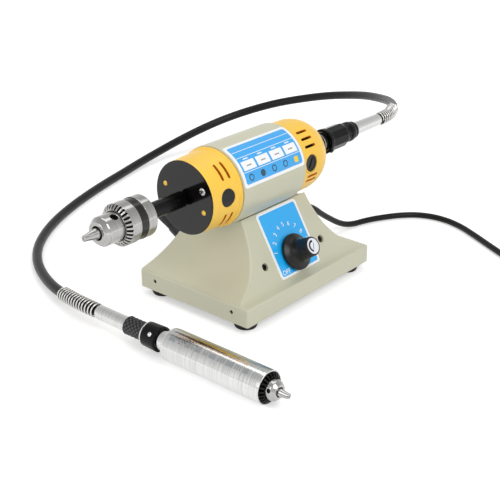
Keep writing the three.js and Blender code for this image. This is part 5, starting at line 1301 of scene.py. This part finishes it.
def bevel_teeth(teeth, start, stop, depth):
    """Gaps between bevel teeth, cut square to the cone over the rows between two places along the axis.
    Returns the wave for a turned piece and the recess of a grid."""

    def gap(x, angle):
        """How far into a gap a place is, 0 to 1: a square wave round the axis with sloping sides."""
        phase = (angle * teeth / TAU) % 1
        square = np.clip((np.abs(phase - 0.5) - 0.26) / 0.06, 0, 1)
        return square * np.clip((x - start) / 0.6, 0, 1) * (x <= stop + 0.01)

    def wave(x, r, angle):
        """A gap's floor, drawn back and in by shares of the depth."""
        amount = gap(x, angle)
        return x - 0.62 * depth * amount, r - 0.78 * depth * amount

    return wave, gap


def make_chuck(prefix, size, at, steel, sleeve, bodies, nodes, teeth):
    """A keyed chuck: a toothed sleeve, a body with key holes and a jaw cavity, and three jaws that meet in
    a cone. Bodies and nodes are those of the body, the sleeve and the jaws."""
    turns = teeth * 14
    bore, outside, root = size.bore, size.outside, size.inner - 0.4
    front = size.sleeve_length + size.bevel
    wave, gap = bevel_teeth(teeth, size.sleeve_length - 0.8, front, size.tooth_depth)
    line = [(0, bore), (0, outside, 0.7)]
    if size.band:
        start, stop = size.band
        floor = outside - 0.55
        line += [(start, outside, 0.2), (start + 0.3, floor, 0.1)]
        line += [(stop - 0.3, floor, 0.1), (stop, outside, 0.2)]
    line += [(size.sleeve_length, outside, 0.4), (front, size.inner, 0.3), (front - 0.3, bore), (0, bore)]
    profile = spread(outline(*line, steps=4), 0.7)
    x, r = profile[:, :1], profile[:, 1:]
    # Painted shade: the teeth gaps and the band's floor are marked as recessed, and the finish darkens them
    recess = gap(x, np.linspace(0, TAU, turns, endpoint=False)[None, :]) * (r > root)
    if size.band:
        recess = np.maximum(recess, ((x > start + 0.05) & (x < stop - 0.05) & (r > bore + 1)) * 0.92)

    def cut(x, r, around):
        """The teeth's wave on the sleeve's outside alone."""
        new_x, new_r = wave(x, r, around)
        outer = (r > root) * 1.0
        return x + (new_x - x) * outer, r + (new_r - r) * outer

    finish, slot = sleeve
    toothed = (turned(profile, at, turns, cut), 0, recess)
    make(f"{prefix}_toothed_sleeve", [toothed], [finish], bodies[1], [nodes[1]], slot)
    make_chuck_body(prefix, size, at, steel, bodies[0], nodes[0])
    for index in range(3):
        name, turn = f"{prefix}_jaw_ground_{index + 1}", jaw_turn(size, index)
        make_jaw(name, size, at, steel, turn, bodies[2][index], nodes[2][index])


def make_chuck_body(prefix, size, at, steel, body, node):
    """The chuck's turned body, with three radial key holes and a jaw cavity that opens out inwards."""
    r, key, cavity, bottom = size.body_radius, size.key_radius, size.cavity, size.face - size.cavity_depth
    profile = closed(
        (size.rear, r), (size.body_front, r, 1.2), (size.face, size.face_radius, 0.5),
        (size.face, cavity, 0.25), (size.face - 1.0, cavity - 0.15, 0.3), (bottom, cavity + size.flare),
        steps=6,
    )
    if size.spindle:
        back, spindle_radius = size.spindle, 3.9
        stem = [[back, 0], [back, spindle_radius], [size.rear, spindle_radius]]
        profile = np.concatenate([stem, profile[1:]])
    hole = closed((r - size.key_depth, key), (r - 0.4, key, 0.3), (r + 0.4, key + 0.8), (r + 4, key + 0.8))
    middle = placed(np.array([size.key_x, 0, 0.0]), at)
    cutters = []
    for index in range(3):
        angle = jaw_turn(size, index) + math.pi / 3
        direction = math.cos(angle) * at.axes[1] + math.sin(angle) * at.axes[2]
        cutters.append((turned(hole, seat(middle, direction, at.axes[0]), 40), 0))
    name = f"{prefix}_turned_body"
    piece = object_of(name, mesh_of(name, [(turned(spread(profile, 1.5), at, 96), 0)]))
    carve(piece, cutters, [steel])
    shade_holes(piece, size, at)
    dress(piece, [steel], body, [node], "bright_steel", crease=30)


def shade_holes(piece, size, at):
    """Marks the points inside the key holes and the jaw cavity as recessed, by their distance from the axis
    and the face."""
    mesh = piece.data
    points = np.empty(len(mesh.vertices) * 3, np.float32)
    mesh.vertices.foreach_get("co", points)
    local = ((points.reshape(-1, 3) - SHIFT) / MM - at.origin) @ at.axes.T
    x, radius = local[:, 0], np.hypot(local[:, 1], local[:, 2])
    deep = (radius < size.body_radius - 0.7) & (np.abs(x - size.key_x) < size.key_radius + 0.4)
    cave = (radius < size.cavity + size.flare + 0.1) & (x < size.face - 0.6) & (x > size.rear + 1)
    attribute = mesh.attributes.get("recess") or mesh.attributes.new("recess", "FLOAT", "POINT")
    attribute.data.foreach_set("value", ((deep | cave) * 0.97).astype(np.float32))


def jaw_turn(size, index):
    """The angle of a jaw round the chuck, from its frame's second axis towards its third."""
    return index * TAU / 3 + size.start


def make_jaw(name, size, at, steel, turn, body, node):
    """One jaw: a 120 degree sector whose radius follows the cone from the tip back to the shank, a hair
    clear of the other two."""
    clear, tip, point = 0.24, size.tip, size.tip_radius
    angle = np.linspace(-math.pi / 3, math.pi / 3, 13)
    edge = np.concatenate([[[0, 0]], np.stack([np.cos(angle), np.sin(angle)], 1), [[0, 0]]])
    line = outline(
        (tip, point * 0.55), (tip, point, 0.3), (tip - size.cone * 0.32, point * 1.2, 0.6),
        (tip - size.cone, size.jaw_radius, 1.4), (tip - size.jaw_length, size.jaw_radius), steps=6,
    )
    x, r = line[:, :1], line[:, 1:]
    x, r = np.concatenate([x[:1], x, x[-1:]]), np.concatenate([0 * r[:1], r, 0 * r[-1:]])
    a, b = clear + r * edge[None, :, 0], r * edge[None, :, 1]
    out, up = a * math.cos(turn) - b * math.sin(turn), a * math.sin(turn) + b * math.cos(turn)
    grid = placed(np.stack(np.broadcast_arrays(x, out, up), -1), at)
    make(name, [(grid, 0)], [steel], body, [node], "bright_steel", crease=25)


def make_main_chuck(sizes, finish):
    """The keyed chuck on the spindle rod."""
    rear = span("chuck_body")[1][0]
    at = seat([rear, 0, pedestal_measures().axis_z], [-1, 0, 0], UP)
    size = SimpleNamespace(
        sleeve_length=28.7, bevel=3, tooth_depth=2.0, bore=13.3, outside=18.4, inner=15.2, band=(9.4, 17.7),
        rear=0, body_radius=12.7, body_front=46.6, face=50.6, face_radius=9.4, cavity=6.2, flare=3.0,
        cavity_depth=26, key_x=36.2, key_radius=3.4, key_depth=3, tip=64.6, tip_radius=2.4, cone=13.5,
        jaw_radius=4.8, jaw_length=24, spindle=None, start=math.radians(4),
    )
    bodies = ("rotor", "chuck_ring", [f"chuck_jaw_{c}" for c in "abc"])
    nodes = ("chuck_body", "chuck_sleeve", [f"chuck_jaw_{k}" for k in (1, 2, 3)])
    sleeve = (finish.steel, "bright_steel")
    make_chuck("chuck", size, at, finish.steel, sleeve, bodies, nodes, sizes.chuck_teeth)


def handpiece_seat():
    """The handpiece's frame at its front rim: first axis towards the tool."""
    low, high = span("handpiece_tube")
    middle = (low + high) / 2
    return seat([middle[0], low[1], middle[2]], [0, -1, 0], UP)


def make_handpiece(sizes, finish):
    """The handpiece's tube with its etched foil, its chuck, the quick connector and the ferrules."""
    at = handpiece_seat()
    radius, spigot, mouth = sizes.handpiece_radius, 20.5, sizes.handpiece_radius - 1.5
    back = ends("handpiece_tube", at)[0]
    rear = back + spigot
    profile = closed(
        (back, 6.5, 0.4), (rear - 9.2, 6.5), (rear - 9.2, 9.0, 0.6), (rear, 9.3), (rear, radius - 0.6, 4.9),
        (rear + 3.6, radius, 1.5), (-0.3, radius, 0.2), (0, radius - 0.4), (0, radius - 1.2, 0.1),
        (-0.8, mouth), (-20.5, mouth), bore=4.6, steps=8,
    )
    tube = [(turned(spread(profile, 4), at, 128), 0)]
    surface = round_on(at, radius)
    # The etched scale: places along the tube and half lengths of its grey blocks, and a row of orange dashes
    blocks = [
        (-96, 3.2), (-88, 1.1), (-85, 0.8), (-79.5, 2.6), (-74, 1.0), (-68, 3.0), (-61, 0.9), (-58.5, 0.6),
        (-52, 3.4), (-45.5, 1.0), (-42.8, 1.0), (-40.2, 1.0), (-34, 3.6), (-27.5, 0.8), (-25.2, 0.8),
        (-22.9, 0.8), (-17, 2.6),
    ]
    grey_v, orange_v = math.radians(56) * radius, math.radians(76) * radius
    for u, half in blocks:
        edge = rounded_rectangle(half, 2.2, 0.3, per_side=3, per_corner=3)
        tube.append((plate(edge, -0.05, 0.05, surface, (u, grey_v), rings=4), 1))
    dash = rounded_rectangle(2.6, 0.45, 0.2, per_side=3, per_corner=3)
    for u in np.arange(-92, -20, 7.0):
        tube.append((plate(dash, -0.05, 0.05, surface, (u, orange_v), rings=2), 2))
    finishes = [finish.aluminium_tool, finish.foil_grey, finish.foil_orange]
    make("handpiece_shell", tube, finishes, stands_for=["handpiece_tube"], slot="aluminium")
    make_connector(finish, at, back)
    make_hand_chuck(sizes, finish, at)


def make_connector(finish, at, tube_back):
    """The quick connector: a knurled sleeve that slides, a thin bright ring, a collar with its detent ball,
    and the ferrule of the flexible shaft."""
    start, stop = ends("connector_collar", at)
    inner = tube_back - 0.4
    collar = closed(
        (start, 9.9, 0.4), (start + 0.9, 9.9), (start + 2.2, 10.0), (start + 2.5, 11.0, 0.6),
        (stop - 3, 11.4), (stop, 11.4, 0.5), (stop, 9.6, 0.3), (stop - 1.2, 6.9), (inner, 6.9), bore=7.2,
    )
    make_turned(
        "connector_collar_body", collar, at, 96, [finish.polished], "connector_collar", "black_plastic",
        step=1.5,
    )
    angle = np.linspace(-math.pi / 2, math.pi / 2, 15)
    ball = 2.3 * np.stack([np.sin(angle), np.cos(angle)], 1)
    ball_seat = seat(placed_round(at, start + 12.2, 10.2, math.radians(38)), at.axes[0], at.axes[2])
    ring = closed((start + 0.9, 10.9, 0.2), (start + 2.2, 10.9, 0.2), bore=9.7)
    bright = [(turned(ball, ball_seat, 28), 0), (turned(ring, at, 72), 0)]
    make("connector_ball_and_ring", bright, [finish.aluminium_tool], slot="bright_steel")
    make_grip(finish, at)
    back, front = ends("tool_ferrule", at)
    ferrule = closed((back, 6.2, 0.4), (back + 1.6, 6.8, 0.5), (front, 6.8), bore=2.2)
    make_turned(
        "tool_ferrule_tube", ferrule, at, 72, [finish.aluminium_tool], "tool_ferrule", "aluminium", step=5
    )


def make_grip(finish, at):
    """The connector's sliding sleeve with its knurl."""
    back, front = ends("connector_sleeve", at)
    line = closed(
        (back, 7.9, 0.3), (back + 0.8, 8.5), (front - 0.8, 8.5), (front, 7.9, 0.3), bore=7.3
    )
    line, turns = spread(line, 0.28), 224

    def ridges(x, angle):
        """Height of a coarse diamond knurl from 0 to 1: |sin(k x + n t)| |sin(k x - n t)|."""
        return (np.abs(np.sin(0.7 * x + 6 * angle)) * np.abs(np.sin(0.7 * x - 6 * angle))) ** 0.6

    def knurl(x, r, angle):
        """The knurl cut into the sleeve between its ends."""
        inside = np.clip((x - back - 0.8) / 0.4, 0, 1) * np.clip((front - 0.8 - x) / 0.4, 0, 1) * (r > 8)
        return x, r - 0.7 * inside * (1 - ridges(x, angle))

    # Painted shade: the knurl's grooves are marked as recessed, and the finish darkens them
    grooves = 0.95 * (1 - ridges(line[:, :1], np.linspace(0, TAU, turns, endpoint=False)[None, :]))
    grip = (turned(line, at, turns, knurl), 0, grooves)
    make("connector_grip", [grip], [finish.knurled], "release_sleeve", ["connector_sleeve"], "black_plastic")


def make_hand_chuck(sizes, finish, at):
    """The small keyed chuck in the handpiece's mouth, on its spindle."""
    rear = ends("handpiece_ring", at)[0]
    size = SimpleNamespace(
        sleeve_length=11.9, bevel=1.6, tooth_depth=1.5, bore=9.35, outside=12.9, inner=10.4, band=None,
        rear=0.3, body_radius=8.9, body_front=18.0, face=21.2, face_radius=6.2, cavity=4.3, flare=2.0,
        cavity_depth=15, key_x=16.1, key_radius=1.8, key_depth=2, tip=30.4, tip_radius=2.1, cone=9.5,
        jaw_radius=3.4, jaw_length=14, spindle=ends("handpiece_spindle", at)[0] - rear,
        start=math.radians(98.5),
    )
    bodies = ("tool_rotor", "tool_ring", [f"tool_jaw_{c}" for c in "abc"])
    nodes = ("handpiece_spindle", "handpiece_ring", [f"handpiece_jaw_{k}" for k in (1, 2, 3)])
    sleeve, place = (finish.blackened_tool, "black_steel"), moved(at, along=rear)
    make_chuck("hand", size, place, finish.steel_tool, sleeve, bodies, nodes, sizes.ring_teeth)


def make_coupling(finish):
    """The fixed nose, the fluted coupling over it with its ring and set screw, and the shaft's ferrule."""
    at = axis_seat()
    start, stop = ends("shaft_nose", at)
    nose = closed(
        (start, 11, 0.3), (start + 1.4, 11, 0.3), (start + 1.4, 9.6, 0.2), (92, 9.6, 0.2), (92.4, 9.2),
        (94, 9.2), (94.4, 9.6), (stop, 9.6, 0.5), bore=4.4,
    )
    make_turned("shaft_nose_turned", nose, at, 80, [finish.blackened], "shaft_nose", "black_steel", step=2)
    front, rear = ends("coupling_body", at)
    flats_end = front + 35
    profile = closed(
        (front, 12.7, 0.5), (front + 4.2, 12.8, 0.6), (front + 5, 12.2, 0.3), (flats_end - 5, 12.2, 0.8),
        (flats_end, 9.6, 0.8), (flats_end + 3, 9.6), (flats_end + 5.4, 10.4, 0.8),
        (flats_end + 10, 10.4, 0.8), (flats_end + 12, 9.2, 0.5), (rear, 9.2, 0.8), (rear, 5.2),
        (rear - 14.6, 5.2), (rear - 14.6, 2), (120.4, 2), bore=10.2,
    )

    def flats(x, r, angle):
        """Ten shallow flats between round ribs: r cos(pi/n) / cos(folded angle), mixed with the round."""
        fold = (angle + math.pi / 10) % (TAU / 10) - math.pi / 10
        flat = r * math.cos(math.pi / 10) / np.cos(fold)
        inside = np.clip((x - front - 4.6) / 0.8, 0, 1) * np.clip((flats_end + 1 - x) / 1.5, 0, 1) * (r > 9)
        return x, r + (flat - r) * inside

    make_turned(
        "coupling_sleeve", profile, at, 160, [finish.polished], "coupling_body", "black_plastic", step=0.9,
        wave=flats,
    )
    inner = closed((front + 0.4, 10.15), (front + 2.6, 10.15), bore=9.75)
    lip = closed((93.4, 10.0, 0.2), (94.6, 10.0, 0.2), bore=9.0)
    rings = [(turned(ring, at, 96), 0) for ring in (inner, lip)]
    make("coupling_inner_ring", rings, [finish.steel], slot="aluminium")
    angle = math.radians(-38)
    direction = -math.cos(angle) * at.axes[1] + math.sin(angle) * at.axes[2]
    screw = seat(placed_round(at, front + 2.6, 12.9, angle), direction, at.axes[0])
    head = closed((-2, 2.2), (1.2, 2.2, 0.5), (1.2, 1.1), (0.2, 1.0))
    make_turned("coupling_set_screw", head, screw, 28, [finish.blackened], slot="black_steel")
    start, stop = ends("shaft_ferrule", at)
    ferrule = closed(
        (start, 4.4), (rear + 0.3, 4.4), (rear + 0.3, 6.9, 0.3), (stop - 1.4, 6.3, 0.4), (stop, 5.9, 0.2),
        bore=2.1,
    )
    finishes = [finish.aluminium]
    make_turned("shaft_ferrule_tube", ferrule, at, 72, finishes, "shaft_ferrule", "aluminium", step=4)


def finish_inner_nodes(finish):
    """Finishes of the packed solids that stay as they are: the inner works."""
    worn = {
        "bottom_plate": finish.iron, "potentiometer": finish.iron, "potentiometer_shaft": finish.steel,
        "speed_board": finish.board, "carbon_brush_near": finish.carbon, "carbon_brush_far": finish.carbon,
        "stator_core": finish.iron, "front_bearing": finish.steel, "rear_bearing": finish.steel,
        "motor_shaft": finish.steel, "armature": finish.copper, "commutator": finish.copper,
        "cooling_fan": finish.nylon,
    }
    for node, material in worn.items():
        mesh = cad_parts[node].data
        mesh.materials.clear()
        mesh.materials.append(material)


# The photograph's view: the camera's place in the machine's frame, its two angles, and its focal length
# on a 36 mm sensor
CAMERA_PLACE = (-693.6, -577.8, 442.3)
CAMERA_AZIMUTH = math.radians(-49.76)
CAMERA_ELEVATION = math.radians(24.43)
CAMERA_LENS = 73.88


def make_camera():
    """The camera at the photograph's viewing angle."""
    data = bpy.data.cameras.new("view")
    data.lens, data.sensor_width = CAMERA_LENS, 36
    data.clip_start, data.clip_end = 0.02, 40
    camera = bpy.data.objects.new("view", data)
    bpy.context.scene.collection.objects.link(camera)
    sine, cosine, level = math.sin(CAMERA_AZIMUTH), math.cos(CAMERA_AZIMUTH), math.cos(CAMERA_ELEVATION)
    back = Vector((sine * level, -cosine * level, math.sin(CAMERA_ELEVATION)))
    right = Vector((cosine, sine, 0))
    turn = Matrix((right, back.cross(right), back)).transposed().to_4x4()
    camera.matrix_world = Matrix.Translation(Vector(np.array(CAMERA_PLACE) * MM + SHIFT)) @ turn
    bpy.context.scene.camera = camera


def add_softbox(name, place, target, width, height, power):
    """A rectangular studio lamp aimed at a point."""
    lamp = bpy.data.lights.new(name, "AREA")
    lamp.shape = "RECTANGLE"
    lamp.size, lamp.size_y = width, height
    lamp.energy = power
    holder = bpy.data.objects.new(name, lamp)
    bpy.context.scene.collection.objects.link(holder)
    holder.location = place
    holder.rotation_euler = (Vector(target) - Vector(place)).to_track_quat("-Z", "Y").to_euler()


def make_stage():
    """A pale floor that keeps soft shadows, white surroundings and three softboxes."""
    make_floor()
    make_surroundings()
    target = (0, 0.05, 0.08)
    add_softbox("key_softbox", (-0.35, -1.1, 1.25), target, 0.9, 0.9, 11)
    add_softbox("side_softbox", (-1.3, 0.25, 0.75), target, 0.7, 0.9, 4)
    add_softbox("top_softbox", (0.35, 0.35, 1.5), target, 1.2, 0.8, 5)
    bpy.context.scene.view_settings.view_transform = "Standard"


def make_floor():
    """The floor: a pale diffuse sheet that camera, gloss and glass also see glow, more so further out."""
    finish = bpy.data.materials.new("pale_studio_floor")
    finish.use_nodes = True
    tree = finish.node_tree
    tree.nodes.clear()
    diffuse = add_node(tree, "ShaderNodeBsdfDiffuse", {"Color": with_alpha((0.82, 0.82, 0.82))})
    rays = add_node(tree, "ShaderNodeLightPath").outputs
    first = {0: rays["Is Camera Ray"], 1: rays["Is Glossy Ray"]}
    seen = add_node(tree, "ShaderNodeMath", first, operation="MAXIMUM").outputs[0]
    both = {0: seen, 1: rays["Is Transmission Ray"]}
    seen = add_node(tree, "ShaderNodeMath", both, operation="MAXIMUM").outputs[0]
    place = add_node(tree, "ShaderNodeTexCoord").outputs["Object"]
    away = add_node(tree, "ShaderNodeVectorMath", {0: place}, operation="LENGTH").outputs["Value"]
    fall = {"Value": away, "From Min": 0.5, "From Max": 1.1, "To Min": 0.45, "To Max": 1.0}
    level = add_node(tree, "ShaderNodeMapRange", fall).outputs[0]
    strength = add_node(tree, "ShaderNodeMath", {0: seen, 1: level}, operation="MULTIPLY").outputs[0]
    glow = add_node(tree, "ShaderNodeEmission", {"Color": (1, 1, 1, 1), "Strength": strength})
    sheet = add_node(tree, "ShaderNodeAddShader", {0: diffuse.outputs[0], 1: glow.outputs[0]})
    add_node(tree, "ShaderNodeOutputMaterial", {"Surface": sheet.outputs[0]})
    reach, height = 6.0, -0.0002
    corners = [(reach * x, reach * y, height) for x, y in ((-1, -1), (1, -1), (1, 1), (-1, 1))]
    mesh = bpy.data.meshes.new("studio_floor")
    mesh.from_pydata(corners, [], [(0, 1, 2, 3)])
    mesh.materials.append(finish)
    object_of("studio_floor", mesh)


def make_surroundings():
    """The world: white to the camera, dimmer upwards to gloss and glass, and to the rest a soft light that
    falls off upwards."""
    world = bpy.data.worlds.new("white_surroundings")
    world.use_nodes = True
    bpy.context.scene.world = world
    tree = world.node_tree
    tree.nodes.clear()
    rays = add_node(tree, "ShaderNodeLightPath").outputs
    place = add_node(tree, "ShaderNodeTexCoord").outputs["Generated"]
    height = add_node(tree, "ShaderNodeSeparateXYZ", {0: place}).outputs["Z"]
    fall = {"Value": height, "From Min": 0.05, "From Max": 0.45, "To Min": 1.0, "To Max": 0.4}
    light = add_node(tree, "ShaderNodeMapRange", fall).outputs[0]
    fall = {"Value": height, "From Min": 0.1, "From Max": 0.8, "To Min": 1.0, "To Max": 0.6}
    mirrored = add_node(tree, "ShaderNodeMapRange", fall).outputs[0]
    first = {0: rays["Is Glossy Ray"], 1: rays["Is Transmission Ray"]}
    seen = add_node(tree, "ShaderNodeMath", first, operation="MAXIMUM").outputs[0]
    seen = add_node(tree, "ShaderNodeMath", {0: seen, 1: mirrored}, operation="MULTIPLY").outputs[0]
    both = {0: seen, 1: rays["Is Camera Ray"]}
    seen = add_node(tree, "ShaderNodeMath", both, operation="MAXIMUM").outputs[0]
    strength = add_node(tree, "ShaderNodeMath", {0: light, 1: seen}, operation="MAXIMUM").outputs[0]
    white = add_node(tree, "ShaderNodeBackground", {"Color": (1, 1, 1, 1), "Strength": strength})
    add_node(tree, "ShaderNodeOutputWorld", {"Surface": white.outputs[0]})


def in_millimetres(group):
    """The sizes in millimetres, with angles and counts as they are."""
    values = {}
    for key, rule in group.bl_rna.properties.items():
        if key in ("rna_type", "name"):
            continue
        value = getattr(group, key)
        values[key] = value / MM if rule.type == "FLOAT" and rule.unit == "LENGTH" else value
    return SimpleNamespace(**values)


FINISHES = {}


def shared_finishes(context):
    """The finishes, made once for all pieces."""
    if "all" not in FINISHES:
        FINISHES["all"] = all_finishes(context.scene.buffer_colours)
    return FINISHES["all"]


def operator(idname, label, doc, build):
    """An operator class that builds one group of pieces from the scene's sizes and finishes."""

    def execute(self, context):
        """Builds the group."""
        build(in_millimetres(context.scene.buffer_sizes), shared_finishes(context))
        return {"FINISHED"}

    name = "BUFFER_OT_" + idname
    return type(
        name,
        (bpy.types.Operator,),
        {"bl_idname": "buffer." + idname, "bl_label": label, "__doc__": doc, "execute": execute},
    )


STEPS = [
    operator("camera", "Camera", "Makes the camera at the photograph's angle", lambda s, f: make_camera()),
    operator("cords", "Cords", "Makes the flexible shaft's hose, its guards and the power cord", make_cords),
    operator("pedestal", "Pedestal", "Makes the pedestal, its feet and its screws", make_pedestal),
    operator("panel", "Speed panel", "Makes the panel's label and the speed knob", make_panel),
    operator("fuse", "Fuse holder", "Makes the fuse holder and its cap", lambda s, f: make_fuse(f)),
    operator("motor", "Motor", "Makes the motor's housing and its label", make_motor),
    operator("front_cap", "Front cap", "Makes the front cap, its disc, plugs and screws", make_front_cap),
    operator("rear_cap", "Rear cap", "Makes the rear cap and the brush caps", make_rear_cap),
    operator("rod", "Spindle rod", "Makes the spindle rod", make_rod),
    operator("chuck", "Main chuck", "Makes the keyed chuck on the rod", make_main_chuck),
    operator("coupling", "Coupling", "Makes the nose, coupling and ferrule", lambda s, f: make_coupling(f)),
    operator("handpiece", "Handpiece", "Makes the handpiece, its chuck and its connector", make_handpiece),
    operator("inner", "Inner works", "Finishes the inner works", lambda s, f: finish_inner_nodes(f)),
    operator("stage", "Stage", "Makes the floor, the surroundings and the lamps", lambda s, f: make_stage()),
]


class BUFFER_PT_panel(bpy.types.Panel):
    """Lists the sizes, the colours and the steps that build the buffer."""

    bl_idname = "BUFFER_PT_panel"
    bl_label = "Bench buffer"
    bl_space_type = "VIEW_3D"
    bl_region_type = "UI"
    bl_category = "Bench buffer"

    def draw(self, context):
        """One button a step, then every size and colour."""
        for step in STEPS:
            self.layout.operator(step.bl_idname)
        for group in (context.scene.buffer_sizes, context.scene.buffer_colours):
            column = self.layout.column()
            for key in group.bl_rna.properties.keys():
                if key not in ("rna_type", "name"):
                    column.prop(group, key)


CLASSES = [BufferSizes, BufferColours, *STEPS, BUFFER_PT_panel]


def register():
    """Registers the classes and hangs the two groups on the scene."""
    for item in CLASSES:
        bpy.utils.register_class(item)
    bpy.types.Scene.buffer_sizes = PointerProperty(type=BufferSizes)
    bpy.types.Scene.buffer_colours = PointerProperty(type=BufferColours)


def unregister():
    """Takes back what register did."""
    del bpy.types.Scene.buffer_colours
    del bpy.types.Scene.buffer_sizes
    for item in reversed(CLASSES):
        bpy.utils.unregister_class(item)


def main():
    """Runs every step in order and writes the two boxes that show the visual model's size."""
    register()
    for step in STEPS:
        name = step.bl_idname.split(".")[1]
        getattr(bpy.ops.buffer, name)()


if __name__ == "__main__":
    main()
